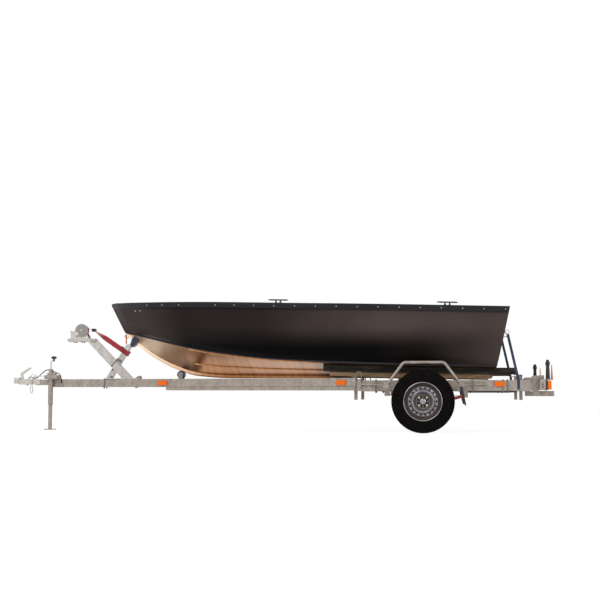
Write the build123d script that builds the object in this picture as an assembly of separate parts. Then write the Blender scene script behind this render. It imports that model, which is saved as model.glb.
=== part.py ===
from build123d import *
import math
import os

# An open aluminium boat strapped on its single-axle road trailer. Millimetres.
# +X runs from the coupling to the tail, +Z up, left is -Y, the ground is Z = 0.

os.makedirs("parts", exist_ok=True)

# Driving sizes of the whole
overall_length = 5360.0
nose_x = -overall_length / 2
tail_x = overall_length / 2
cut_margin = 20.0
seat_gap = 0.3

# Driving sizes of the boat
bow_setback = 1030.0
hull_length = 3933.0
hull_half_beam = 770.0
hull_depth = 646.0
keel_level = 540.0
plate = 3.0
bow_x = nose_x + bow_setback
transom_x = bow_x + hull_length

# Driving sizes of the trailer
beam_top = 508.0
beam_height = 80.0
beam_wall = 4.0
rail_top = 485.0
rail_height = 100.0
rail_width = 60.0
rail_half_track = 580.0
wheel_x = nose_x + 4171.0
wheel_half_track = 765.0
tyre_radius = 289.0
tyre_width = 155.0
lamp_half_width = 800.0


# Shapes shared by many pieces
def block(x_low, x_high, y_low, y_high, z_low, z_high):
    size = (x_high - x_low, y_high - y_low, z_high - z_low)
    return Pos(x_low, y_low, z_low) * Box(*size, align=(Align.MIN, Align.MIN, Align.MIN))


def run_plane(start, end, side=None):
    direction = Vector(*end) - Vector(*start)
    if side is None:
        side = (-direction.Y, direction.X, 0) if direction.X or direction.Y else (1, 0, 0)
    return Plane(origin=start, x_dir=side, z_dir=direction), direction.length


def bar(start, end, width, height, wall=0.0, side=None):
    # A straight bar, or a tube where it has a wall, with its width along the side direction
    plane, length = run_plane(start, end, side)
    low = (Align.CENTER, Align.CENTER, Align.MIN)
    solid = plane * Box(width, height, length, align=low)
    if wall:
        solid -= plane * Box(width - 2 * wall, height - 2 * wall, length, align=low)
    return solid


def rod(start, end, radius, bore=0.0):
    plane, length = run_plane(start, end)
    low = (Align.CENTER, Align.CENTER, Align.MIN)
    solid = plane * Cylinder(radius, length, align=low)
    if bore:
        solid -= plane * Cylinder(bore, length, align=low)
    return solid


def bent_rod(points, radius, bend, bore=0.0):
    path = FilletPolyline(*points, radius=bend)
    plane = Plane(origin=path @ 0, z_dir=path % 0)
    solid = sweep(plane * Circle(radius), path=path)
    if bore:
        solid -= sweep(plane * Circle(bore), path=path)
    return solid


def slab(points, y_low, y_high):
    # A plate with an outline in X and Z, reaching from one Y to another
    outline = Wire.make_polygon([Vector(x, y_low, z) for x, z in points], close=True)
    return Solid.extrude(Face(outline), Vector(0, y_high - y_low, 0))


def other_side(shape):
    return mirror(shape, about=Plane.XZ)


def save(name, *shapes):
    solids = []
    for shape in shapes:
        solids.extend(shape.solids())
    result = solids[0] if len(solids) == 1 else Compound(children=solids)
    result.label = name
    export_step(result, f"parts/{name}.step")


# Hull sections. Each lies in a plane that leans by its rake, the run of X with Z.
# Columns: place along the hull, rake, gunwale breadth, sheer height, chine breadth,
# chine height, keel height, knuckle height; lengths are shares of hull length,
# half beam and depth, heights from the keel level.
section_shares = [
    (0.000, -0.493, 0.036, 1.110, 0.013, 0.676, 0.658, 0.893),
    (0.025, -0.440, 0.182, 1.113, 0.074, 0.645, 0.488, 0.866),
    (0.061, -0.380, 0.336, 1.106, 0.167, 0.601, 0.313, 0.828),
    (0.119, -0.280, 0.545, 1.090, 0.310, 0.523, 0.151, 0.767),
    (0.198, -0.170, 0.734, 1.074, 0.475, 0.424, 0.033, 0.688),
    (0.305, -0.060, 0.896, 1.053, 0.634, 0.325, 0.000, 0.623),
    (0.451, 0.000, 0.994, 1.025, 0.760, 0.229, 0.000, 0.598),
    (0.649, 0.050, 1.000, 1.000, 0.804, 0.174, 0.000, 0.583),
    (1.000, 0.218, 0.990, 0.944, 0.792, 0.121, 0.000, 0.534),
]
knuckle_breadth_share = 0.83
bend_breadth_share = 0.31
bend_height_share = 0.09


class Section:
    def __init__(self, row):
        place, self.rake, gunwale, sheer, chine, chine_up, keel_up, knuckle_up = row
        self.x = bow_x + place * hull_length
        self.top = keel_level + sheer * hull_depth
        half = gunwale * hull_half_beam
        chine_half = chine * hull_half_beam
        chine_z = keel_level + chine_up * hull_depth
        flare = half - chine_half
        rise = self.top - chine_z
        self.outline = [
            (half, self.top),
            (chine_half + knuckle_breadth_share * flare, keel_level + knuckle_up * hull_depth),
            (chine_half + bend_breadth_share * flare, chine_z + bend_height_share * rise),
            (chine_half, chine_z),
            (0.0, keel_level + keel_up * hull_depth),
        ]

    def place(self, y, z):
        return (self.x + self.rake * (z - self.top), y, z)

    def inset(self, depth):
        # The outline moved inwards: gunwale, knuckle, bend, chine and keel points
        lines = []
        for (y, z), (y_next, z_next) in zip(self.outline, self.outline[1:]):
            run, fall = y_next - y, z_next - z
            length = math.hypot(run, fall)
            lines.append((y + depth * fall / length, z - depth * run / length, run, fall))
        y, z, run, fall = lines[0]
        points = [(y + run * (self.top - z) / fall, self.top)]
        for (ya, za, ra, fa), (yb, zb, rb, fb) in zip(lines, lines[1:]):
            step = ((yb - ya) * fb - (zb - za) * rb) / (ra * fb - fa * rb)
            points.append((ya + step * ra, za + step * fa))
        y, z, run, fall = lines[-1]
        points.append((0.0, z - y * fall / run))
        return points


sections = [Section(row) for row in section_shares]
transom_section = sections[-1]


def loft_through(outlines):
    # A ruled body through one closed outline in each section plane
    wires = []
    for section, outline in outlines:
        corners = [Vector(*section.place(y, z)) for y, z in outline]
        wires.append(Wire.make_polygon(corners, close=True))
    return Solid.make_loft(wires, ruled=True)


def hull_space(depth, first=0):
    # The room inside the hull, a depth in from its outer face
    outlines = []
    for section in sections[first:]:
        half = section.inset(depth)
        outlines.append((section, half + [(-y, z) for y, z in reversed(half[:-1])]))
    return loft_through(outlines)


# Hull plates: a bent side and a flat bottom on each side, meeting at the chine and the keel
side_outlines = []
bottom_outlines = []
for section in sections:
    outer = section.outline
    inner = section.inset(plate)
    side_outlines.append((section, outer[:4] + inner[3::-1]))
    bottom_outlines.append((section, outer[3:] + inner[:2:-1]))
hull_side = loft_through(side_outlines)
hull_bottom = loft_through(bottom_outlines)
save("hull_side_left", other_side(hull_side))
save("hull_side_right", hull_side)

# The bottom is plated in lengths that butt on each other, shorter where the bow twists, so
# that the simple shapes used for contact follow the plate instead of filling the wells
bottom_seams = [-1250.0, -1100.0, -980.0, -860.0, -740.0, -600.0, -300.0, 100.0, 700.0]
bottom_ends = [bow_x - hull_half_beam] + bottom_seams + [bow_x + hull_length + hull_half_beam]
bottom_plates = []
for seam, next_seam in zip(bottom_ends, bottom_ends[1:]):
    length_room = block(seam, next_seam, -hull_half_beam, hull_half_beam, 0, 2 * hull_half_beam)
    bottom_plates += (hull_bottom & length_room).solids()
save("hull_bottom_left", *[other_side(length) for length in bottom_plates])
save("hull_bottom_right", *bottom_plates)

# Keel bar under the seam, and the nose of the stem ahead of the first section
keel_width = 30.0
keel_height = 25.0
keel_outlines = []
for section in sections:
    (chine_y, chine_z), (keel_y, keel_z) = section.outline[3:]
    lift = (chine_z - keel_z) / chine_y * keel_width / 2
    half = [(keel_width / 2, keel_z + lift), (keel_width / 2, keel_z - keel_height)]
    outline = [(keel_y, keel_z)] + half + [(-y, z) for y, z in reversed(half)]
    keel_outlines.append((section, outline))
keel_bar = loft_through(keel_outlines) - hull_bottom - other_side(hull_bottom)
save("keel_bar", keel_bar)

stem_nose = 18.0
stem_wires = []
for y, z in (sections[0].outline[0], sections[0].outline[3]):
    x = sections[0].place(y, z)[0]
    nose = stem_nose * (y / sections[0].outline[0][0]) ** 0.5
    back = Edge.make_line((x, y, z), (x, -y, z))
    front = Edge.make_three_point_arc((x, -y, z), (x - nose, 0, z), (x, y, z))
    stem_wires.append(Wire([back, front]))
save("stem", Solid.make_loft(stem_wires, ruled=True))

# Strakes along the bottom, two a side
strake_breadth_shares = [(0.36, 0.40), (0.90, 0.94)]
strake_depth = 12.0
strakes = []
for inner_share, outer_share in strake_breadth_shares:
    outlines = []
    for section in sections[4:]:
        (chine_y, chine_z), (keel_y, keel_z) = section.outline[3:]
        inner = (inner_share * chine_y, keel_z + inner_share * (chine_z - keel_z))
        out = (outer_share * chine_y, keel_z + outer_share * (chine_z - keel_z))
        outlines.append((section, [inner, out, (out[0], out[1] - strake_depth)]))
    strake = loft_through(outlines)
    strakes += [strake, other_side(strake)]
save("bottom_strakes", *strakes)

# Transom plate on the last section, its motor notch and the boards that carry a motor
notch_top_half = 330.0
notch_floor_half = 260.0
notch_depth = 105.0
half = transom_section.outline
outline = half + [(-y, z) for y, z in reversed(half[:-1])]
transom_face = Face(Wire.make_polygon([transom_section.place(y, z) for y, z in outline], close=True))
aft = Vector(1, 0, -transom_section.rake).normalized()
transom_axis = Plane(origin=transom_section.place(0, transom_section.top), x_dir=(0, 1, 0), z_dir=aft)
notch_corners = [
    (-notch_top_half, cut_margin),
    (notch_top_half, cut_margin),
    (notch_floor_half, -notch_depth),
    (-notch_floor_half, -notch_depth),
]


def on_transom(points, low, high):
    # A plate with an outline in the transom's plane, between two depths along its normal
    corners = [transom_axis.offset(low).from_local_coords(Vector(*p, 0)) for p in points]
    return Solid.extrude(Face(Wire.make_polygon(corners, close=True)), aft * (high - low))


board_half = 250.0
board_depth = 300.0
board_thick = 32.0
transom_up = -1 if transom_axis.y_dir.Z < 0 else 1
notch_corners = [(y, transom_up * v) for y, v in notch_corners]
transom = Solid.extrude(transom_face, aft * plate)
transom = transom - on_transom(notch_corners, -plate, 2 * plate)
board_top = notch_depth - board_thick / 4
board_points = [
    (-board_half, -board_top),
    (board_half, -board_top),
    (board_half, -board_top - board_depth),
    (-board_half, -board_top - board_depth),
]
board_points = [(y, transom_up * v) for y, v in board_points]
motor_board = on_transom(board_points, -board_thick, 0)
save("motor_board", motor_board)
pad_margin = 60.0
pad_thick = 6.0
pad_points = [
    (-board_half + pad_margin, -notch_depth - pad_margin / 2),
    (board_half - pad_margin, -notch_depth - pad_margin / 2),
    (board_half - pad_margin, -board_top - board_depth + pad_margin),
    (-board_half + pad_margin, -board_top - board_depth + pad_margin),
]
pad_points = [(y, transom_up * v) for y, v in pad_points]
save("transom", transom + on_transom(pad_points, plate, plate + pad_thick))

# Gunwale extrusions capping the plate edge
gunwale_depth = 50.0
gunwale_width = 46.0
gunwale_wall = 4.0
gunwale_lip = 22.0
gunwale_out = 12.0
gunwale_outlines = []
for section in sections:
    (y, z), (knuckle_y, knuckle_z) = section.outline[:2]
    lean = (y - knuckle_y) / (z - knuckle_z) * gunwale_depth
    inner = max(y - gunwale_width, plate)
    wall = min(gunwale_wall, (y - inner) / 4)
    gunwale_outlines.append((section, [
        (y - lean, z - gunwale_depth),
        (y + gunwale_out, z - gunwale_depth),
        (y + gunwale_out, z + gunwale_wall),
        (inner, z + gunwale_wall),
        (inner, z - gunwale_lip),
        (inner + wall, z - gunwale_lip),
        (inner + wall, z),
        (y, z),
    ]))
gunwale = loft_through(gunwale_outlines) - hull_side
save("gunwales", gunwale, other_side(gunwale))

# Bow cap and the knees at the transom corners
first_half = sections[0].outline[0][0]
cap_length = 90.0
cap_thick = 5.0
cap_x = sections[0].x
cap_low = sections[0].top + gunwale_wall + seat_gap
cap_points = [
    Vector(cap_x, -first_half - gunwale_out, cap_low),
    Vector(cap_x + cap_length, -sections[1].outline[0][0], cap_low),
    Vector(cap_x + cap_length, sections[1].outline[0][0], cap_low),
    Vector(cap_x, first_half + gunwale_out, cap_low),
]
sheer_step = sections[1].top - sections[0].top
sheer_run = sections[1].x - sections[0].x
cap_points = [p + Vector(0, 0, sheer_step * (p.X - cap_x) / sheer_run) for p in cap_points]
bow_cap = Solid.extrude(Face(Wire.make_polygon(cap_points, close=True)), Vector(0, 0, cap_thick))

knee_reach = 150.0
knee_thick = 6.0
knee_half = transom_section.outline[0][0] - gunwale_width
knee_low = transom_section.top - gunwale_lip
knee_x = transom_section.place(0, knee_low - knee_thick)[0]
knee_points = [
    Vector(knee_x, knee_half, knee_low),
    Vector(knee_x - knee_reach, knee_half, knee_low),
    Vector(knee_x, knee_half - knee_reach, knee_low),
]
knee = Solid.extrude(Face(Wire.make_polygon(knee_points, close=True)), Vector(0, 0, -knee_thick))
save("gunwale_corners", bow_cap, knee, other_side(knee))

# Ribs against the inside of the plates
rib_depth = 24.0
rib_width = 30.0
rib_count = 6
rib_first_x = bow_x + 1360.0
rib_pitch = 440.0
rib_top = keel_level + hull_depth - 2 * gunwale_depth
inside = hull_space(plate)
deeper_inside = hull_space(plate + rib_depth, first=2)
ribs = []
for index in range(rib_count):
    x = rib_first_x + index * rib_pitch
    slice_of_hull = block(x, x + rib_width, -hull_half_beam, hull_half_beam, keel_level, rib_top)
    ribs.append((slice_of_hull & inside) - deeper_inside)
save("ribs", *ribs)

# Floor plate between the ribs' arms
floor_rise = 70.0
floor_low = keel_level + floor_rise
floor_high = floor_low + plate
floor_start = bow_x + 1010.0
floor_end = transom_section.place(0, floor_low)[0] - board_thick
floor_plate = block(floor_start, floor_end, -hull_half_beam, hull_half_beam, floor_low, floor_high)
floor_plate = floor_plate & inside
for rib in ribs:
    floor_plate -= rib
save("floor", floor_plate)

# Benches, each a hollow box across the hull. Columns: place aft of the bow, length
bench_height = 290.0
bench_top = floor_high + bench_height
bench_places = [
    (1060.0, 250.0),
    (1860.0, 300.0),
    (3160.0, 330.0),
]
benches = []
for setback, length in bench_places:
    x = bow_x + setback
    outer = block(x, x + length, -hull_half_beam, hull_half_beam, floor_high, bench_top)
    room = block(
        x + plate, x + length - plate, -hull_half_beam, hull_half_beam, floor_high, bench_top - plate,
    )
    bench = (outer & inside) - room
    for rib in ribs:
        bench -= rib
    benches.append(bench)
save("benches", *benches)

# Bow deck and its bulkhead
deck_drop = 70.0
deck_end = bow_x + 620.0
deck_high = sections[3].top - deck_drop
deck_start = bow_x + 120.0
deck = block(deck_start, deck_end, -hull_half_beam, hull_half_beam, deck_high - plate, deck_high)
bulkhead = block(deck_end - plate, deck_end, -hull_half_beam, hull_half_beam, keel_level, deck_high - plate)
bulkhead = bulkhead & inside
locker_half = 130.0
locker_sill = 130.0
locker_head = 60.0
hatch = block(
    deck_end - 2 * plate, deck_end + plate, -locker_half, locker_half,
    keel_level + hull_depth / 3 + locker_sill, deck_high - locker_head,
)
save("bow_deck", (deck & inside) + (bulkhead - hatch))

# Cleats on the gunwales, two a side: two feet and a horned bar
cleat_length = 190.0
cleat_height = 34.0
cleat_bar = 14.0
cleat_foot = 26.0
cleat_foot_spread = 90.0
cleat_setbacks = (1804.0, 3370.0)


def gunwale_at(x):
    # Half breadth and height of the sheer at a place along the hull
    for low, high in zip(sections, sections[1:]):
        if x <= high.x:
            share = (x - low.x) / (high.x - low.x)
            (y_low, z_low), (y_high, z_high) = low.outline[0], high.outline[0]
            return y_low + share * (y_high - y_low), z_low + share * (z_high - z_low)
    return high.outline[0]


cleats = []
for setback in cleat_setbacks:
    x = bow_x + setback
    ends = []
    for end_x in (x - cleat_length / 2, x + cleat_length / 2):
        y, z = gunwale_at(end_x)
        ends.append(Vector(end_x, y - gunwale_width / 2 + gunwale_out / 2, z + gunwale_wall + seat_gap))
    along = (ends[1] - ends[0]).normalized()
    middle = (ends[0] + ends[1]) / 2
    seat = Plane(origin=middle, x_dir=along, z_dir=along.cross(Vector(0, 1, 0)) * -1)
    if seat.z_dir.Z < 0:
        seat = Plane(origin=middle, x_dir=along, z_dir=along.cross(Vector(0, 1, 0)))
    low = (Align.CENTER, Align.CENTER, Align.MIN)
    cleat = Box(cleat_length - 2 * cleat_bar, cleat_bar, cleat_bar, align=low)
    horn = Rot(0, 90, 0) * Cone(cleat_bar / 2, cleat_bar / 4, cleat_bar, align=low)
    horn_x = cleat_length / 2 - cleat_bar
    cleat += Pos(horn_x, 0, cleat_bar / 2) * horn
    cleat += mirror(Pos(horn_x, 0, cleat_bar / 2) * horn, about=Plane.YZ)
    cleat = Pos(0, 0, cleat_height - cleat_bar) * cleat
    for foot_x in (-cleat_foot_spread / 2, cleat_foot_spread / 2):
        foot = Cone(cleat_foot / 2, cleat_bar / 2, cleat_height - cleat_bar / 2, align=low)
        cleat += Pos(foot_x, 0, 0) * foot
    cleat = seat * cleat
    cleats += [cleat, other_side(cleat)]
save("cleats", *cleats)

# Eyes: one on the stem for the winch, two on the transom for the straps
eye_radius = 20.0
eye_rod = 5.0
stem_foot = sections[0].place(*sections[0].outline[4])
eye_x = stem_foot[0] + 4.0
eye_z = stem_foot[2] - 24.0
bow_eye = Pos(eye_x, 0, eye_z) * (Rot(90, 0, 0) * Torus(eye_radius, eye_rod))
bow_eye = bow_eye - keel_bar - hull_bottom - other_side(hull_bottom)
save("bow_eye", bow_eye.solids().sort_by(SortBy.VOLUME)[-1])

# Rear anchor eyes stand on the transom's outer face
anchor_y = 600.0
anchor_drop = 245.0
anchor_half = 18.0
anchor_out = 34.0
anchor_z = transom_section.top - anchor_drop
anchor_seat = Vector(*transom_section.place(anchor_y, anchor_z)) + aft * (plate + seat_gap)
up = Vector(transom_section.rake, 0, 1).normalized()
anchor_base = bar(
    tuple(anchor_seat), tuple(anchor_seat + aft * plate), 2 * anchor_half, 4 * anchor_half, side=(0, 1, 0),
)
anchor_points = [
    anchor_seat + up * anchor_half + aft * plate / 2,
    anchor_seat + up * anchor_half + aft * anchor_out,
    anchor_seat - up * anchor_half + aft * anchor_out,
    anchor_seat - up * anchor_half + aft * plate / 2,
]
anchor = bent_rod(anchor_points, eye_rod, anchor_half * 0.9) + anchor_base
save("transom_eyes", anchor, other_side(anchor))

# Drain plug, on the transom beside the keel
plug_radius = 16.0
plug_length = 14.0
plug_y = -150.0
plug_z = keel_level + 70.0
plug_seat = Vector(*transom_section.place(plug_y, plug_z)) + aft * plate
save("drain_plug", rod(tuple(plug_seat), tuple(plug_seat + aft * plug_length), plug_radius))

# Drawbar: a square tube on the centre line with a smaller tube in its nose
beam_low = beam_top - beam_height
beam_mid = (beam_top + beam_low) / 2
drawbar_start = nose_x + 424.0
drawbar_end = nose_x + 1830.0
nose_tube_width = 60.0
nose_tube_height = 56.0
nose_tube_start = nose_x + 241.0
nose_tube_end = drawbar_start + 250.0
nose_tube_top = beam_top - beam_wall
drawbar = bar((drawbar_start, 0, beam_mid), (drawbar_end, 0, beam_mid), beam_height, beam_height, beam_wall)
nose_tube_mid = nose_tube_top - nose_tube_height / 2
nose_tube = bar(
    (nose_tube_start, 0, nose_tube_mid), (nose_tube_end, 0, nose_tube_mid),
    nose_tube_width, nose_tube_height, beam_wall,
)

# The trailer lead goes into the drawbar through a small box on its near side
entry_box_x = nose_x + 515.0
entry_box_y = -beam_height / 2 - 7.0
entry_box_top = 463.0
entry_box_low = 438.0
entry_box_half = 12.0
entry_box_out = 16.0
entry_box = block(
    entry_box_x - entry_box_half, entry_box_x + entry_box_half, -beam_height / 2 - entry_box_out,
    -beam_height / 2 + beam_wall / 2, entry_box_low, entry_box_top,
)
save("drawbar", drawbar + nose_tube + entry_box)

# Side rails aft, and the arms that spread from the drawbar to them
rail_low = rail_top - rail_height
rail_mid = (rail_top + rail_low) / 2
rail_inner = rail_half_track - rail_width / 2
rail_outer = rail_half_track + rail_width / 2
rail_start = nose_x + 3545.0
rail_end = tail_x - 141.0
rail_ends = [(rail_start, rail_half_track, rail_mid), (rail_end, rail_half_track, rail_mid)]
rail = bar(*rail_ends, rail_width, rail_height, beam_wall)
save("side_rails", rail, other_side(rail))

cross_height = 60.0
cross_width = 60.0
cross_low = beam_low - 3.0
cross_mid = cross_low + cross_height / 2
front_cross_x = nose_x + 3548.0
arm_width = 60.0
arm_start = nose_x + 1045.0
arm_end = front_cross_x
arm_half = beam_height / 2
arm_slope = (rail_inner - arm_half) / (arm_end - arm_start)
arm_skew = math.hypot(1, arm_slope)
arm_axis_y = arm_half - arm_width / 2 * arm_skew
arm_run = arm_end - arm_start
arm = bar(
    (arm_start - arm_width, arm_axis_y - arm_width * arm_slope, beam_mid),
    (arm_end + arm_width, arm_axis_y + (arm_run + arm_width) * arm_slope, beam_mid),
    arm_width, beam_height, beam_wall,
)
arm -= block(nose_x, tail_x, -arm_half, arm_half, beam_low - cut_margin, beam_top + cut_margin)
arm -= block(arm_end, tail_x, 0, rail_outer, beam_low - cut_margin, beam_top + cut_margin)
save("v_arms", arm, other_side(arm))

# Tubes under the arms stiffen the frame back to the cross beam
under_height = 33.0
under_width = 50.0
under_start = nose_x + 1627.0
under_mid = beam_low - under_height / 2
under_shift = arm_axis_y - arm_slope * arm_start
under = bar(
    (under_start, under_shift + arm_slope * under_start, under_mid),
    (arm_end, under_shift + arm_slope * arm_end, under_mid),
    under_width, under_height, beam_wall,
)
under -= block(arm_end, tail_x, 0, rail_outer, 0, beam_top)
save("under_tubes", under, other_side(under))

# Cross beams between the rails, one at each pair of bunk posts, and one over the drawbar's end
rear_cross_x = tail_x - 275.0
cross_beams = []
for x in (front_cross_x, rear_cross_x):
    mid_x = x + cross_width / 2
    ends = [(mid_x, -rail_inner, cross_mid), (mid_x, rail_inner, cross_mid)]
    cross_beams.append(bar(*ends, cross_width, cross_height, beam_wall))
arm_at_drawbar = under_shift + arm_slope * drawbar_end - arm_width / 2 * arm_skew
link_x = drawbar_end + cross_width / 2
link_ends = [(link_x, -hull_half_beam, beam_mid), (link_x, hull_half_beam, beam_mid)]
link = bar(*link_ends, cross_width, cross_height, beam_wall)
arm_solid = bar(
    (arm_start, arm_axis_y, beam_mid), (arm_end, arm_axis_y + arm_run * arm_slope, beam_mid),
    arm_width, beam_height,
)
beyond = block(nose_x, tail_x, arm_at_drawbar + arm_width / 2, hull_half_beam, beam_low, beam_top)
link = link - arm_solid - other_side(arm_solid) - beyond - other_side(beyond)
save("cross_beams", *cross_beams, link)

# Bunks follow the bottom's slope; each is a carpeted board on a timber
bunk_y = 440.0
bunk_width = 110.0
bunk_board = 58.0
bunk_timber = 40.0
bunk_timber_width = 70.0
bunk_seat = 0.8
bunk_start = nose_x + 3229.0
bunk_end = tail_x - 338.0
timber_start = bunk_start + 60.0
timber_end = bunk_end - 222.0


def bottom_at(x, y):
    # Height of the bottom's outer face at a place aft of the bow sections
    places = []
    for section in sections[4:]:
        (chine_y, chine_z), (keel_y, keel_z) = section.outline[3:]
        z = keel_z + (chine_z - keel_z) * y / chine_y
        places.append((section.place(y, z)[0], z))
    for (x_low, z_low), (x_high, z_high) in zip(places, places[1:]):
        if x <= x_high:
            return z_low + (x - x_low) * (z_high - z_low) / (x_high - x_low)
    return z_high


def bunk_section(x, low, high, width):
    # A slice of the bunk between two depths below its seat on the hull
    inner, outer = bunk_y - width / 2, bunk_y + width / 2
    seat_in = bottom_at(x, inner) - bunk_seat
    seat_out = bottom_at(x, outer) - bunk_seat
    flat = bottom_at(x, bunk_y) - bunk_seat
    if low:
        seat_in = seat_out = flat - low
    corners = [(inner, seat_in), (outer, seat_out), (outer, flat - high), (inner, flat - high)]
    return Wire.make_polygon([Vector(x, y, z) for y, z in corners], close=True)


bunk_middle = sections[7].x
bunk_transom = transom_section.place(0, bottom_at(transom_x, bunk_y))[0]
board_places = (bunk_start, bunk_middle, bunk_transom, bunk_end)
board = Solid.make_loft([bunk_section(x, 0, bunk_board, bunk_width) for x in board_places], ruled=True)
timber_places = (timber_start, bunk_middle, timber_end)
timber_deep = bunk_board + bunk_timber
timber = Solid.make_loft(
    [bunk_section(x, bunk_board, timber_deep, bunk_timber_width) for x in timber_places], ruled=True
)
bunk = board + timber
save("bunk_left", other_side(bunk))
save("bunk_right", bunk)

# Posts carry the bunks and clamp to the cross beams
post_size = 30.0
post_low = 302.0
post_head = 6.0
front_post_x = front_cross_x - post_size / 2
rear_post_x = rear_cross_x - post_size / 2
posts = []
for x in (front_post_x, rear_post_x):
    top = bottom_at(x, bunk_y) - bunk_seat - bunk_board - seat_gap
    if x == front_post_x:
        top -= bunk_timber
    head_start = x - 2 * post_size if x == rear_post_x else x - post_size
    post = bar((x, bunk_y, post_low), (x, bunk_y, top), post_size, post_size, plate, side=(0, 1, 0))
    head = block(head_start, x + post_size / 2, bunk_y - post_size, bunk_y + post_size, top - post_head, top)
    post = post - head + head
    posts += [post, other_side(post)]
save("bunk_posts", *posts)

# Keel roller on the drawbar, between two cheeks on an axle pin


def keel_at(x):
    # Height and slope of the keel bar's lower edge
    places = [section.place(0.0, section.outline[4][1] - keel_height) for section in sections]
    for (x_low, _, z_low), (x_high, _, z_high) in zip(places, places[1:]):
        if x <= x_high:
            slope = (z_high - z_low) / (x_high - x_low)
            return z_low + (x - x_low) * slope, slope
    return z_high, 0.0


roller_x = nose_x + 1745.0
roller_radius = 37.0
roller_half = 40.0
roller_pin = 8.0
cheek_thick = 5.0
cheek_half = 22.0
keel_z, keel_slope = keel_at(roller_x)
roller_z = keel_z - (roller_radius + seat_gap) * math.hypot(1, keel_slope)
roller_side = roller_half + seat_gap
pin_half = roller_side + 2 * cheek_thick
roller_ends = [(roller_x, -roller_half, roller_z), (roller_x, roller_half, roller_z)]
roller = rod(*roller_ends, roller_radius, roller_pin + seat_gap)
save("keel_roller", roller)
roller_bracket = rod((roller_x, -pin_half, roller_z), (roller_x, pin_half, roller_z), roller_pin)
for y in (-roller_side - cheek_thick, roller_side):
    roller_bracket += block(
        roller_x - cheek_half, roller_x + cheek_half, y, y + cheek_thick, beam_top, roller_z + cheek_half,
    )
save("roller_bracket", roller_bracket)

# Axle: a square beam through the wheel centres, with a turned stub at each end
wheel_z = tyre_radius
axle_size = 50.0
axle_half = 640.0
stub_radius = 17.0
stub_end = wheel_half_track + 32.0
axle_collar = 22.5
axle = bar((wheel_x, -axle_half, wheel_z), (wheel_x, axle_half, wheel_z), axle_size, axle_size, beam_wall)
for side in (-1, 1):
    axle += rod(
        (wheel_x, side * (axle_half - axle_size), wheel_z), (wheel_x, side * stub_end, wheel_z), stub_radius,
    )
    axle += rod(
        (wheel_x, side * (axle_half - axle_size), wheel_z), (wheel_x, side * (axle_half + plate), wheel_z),
        axle_collar,
    )
save("axle", axle)

# Leaf springs under the rails: bent leaves, an eye at each end, hangers and axle plates
leaf_thick = 8.0
leaf_width = 45.0
spring_front = wheel_x - 335.0
spring_rear = wheel_x + 385.0
eye_ring = 17.0
eye_bore = 8.0
front_eye_z = rail_low - 22.0
rear_eye_z = rail_low - 36.0
spring_seat = wheel_z + axle_size / 2 + seat_gap
spring_low = rail_half_track - leaf_width / 2
spring_high = rail_half_track + leaf_width / 2


def leaf(front, rear, low_z, rise_front, rise_rear):
    # One leaf of even thickness, level at the axle, its halves arcs that rise to the ends
    faces = []
    for end_x, rise in ((front, rise_front), (rear, rise_rear)):
        reach = end_x - wheel_x
        curve = (reach ** 2 + rise ** 2) / (2 * rise)
        half_rise = curve - math.sqrt(curve ** 2 - reach ** 2 / 4)
        places = [(wheel_x, low_z), (wheel_x + reach / 2, low_z + half_rise), (end_x, low_z + rise)]
        lower = Edge.make_three_point_arc(*[Vector(x, spring_low, z) for x, z in places])
        upper = Edge.make_three_point_arc(*[Vector(x, spring_low, z + leaf_thick) for x, z in places])
        ends = [Edge.make_line(lower @ 0, upper @ 0), Edge.make_line(lower @ 1, upper @ 1)]
        faces.append(Face(Wire([lower, ends[1], upper, ends[0]])))
    halves = [Solid.extrude(face, Vector(0, leaf_width, 0)) for face in faces]
    return halves[0] + halves[1]


main_low = spring_seat + leaf_thick + seat_gap
front_rise = front_eye_z - main_low - leaf_thick
rear_rise = rear_eye_z - main_low - leaf_thick
spring = leaf(spring_front, spring_rear, main_low, front_rise, rear_rise)
for x, z in ((spring_front, front_eye_z), (spring_rear, rear_eye_z)):
    spring += rod((x, spring_low, z), (x, spring_high, z), eye_ring)
    spring -= rod((x, spring_low, z), (x, spring_high, z), eye_bore + seat_gap)
helper_half = 190.0
helper_rise_share = 0.6
helper_rise = helper_rise_share * front_rise * (helper_half / (wheel_x - spring_front)) ** 2
helper = leaf(wheel_x - helper_half, wheel_x + helper_half, spring_seat, helper_rise, helper_rise)
save("leaf_springs", spring, helper, other_side(spring), other_side(helper))

hanger_wall = 5.0
hanger_gap = 1.0
hanger_half = 24.0
hanger_low = spring_low - hanger_gap - hanger_wall
hanger_high = spring_high + hanger_gap + hanger_wall
hangers = []
for x, z in ((spring_front, front_eye_z), (spring_rear, rear_eye_z)):
    hanger = rod((x, hanger_low, z), (x, hanger_high, z), eye_bore)
    for y in (hanger_low, hanger_high - hanger_wall):
        hanger += block(x - hanger_half, x + hanger_half, y, y + hanger_wall, z - hanger_half, rail_low)
    hangers += [hanger, other_side(hanger)]

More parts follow.
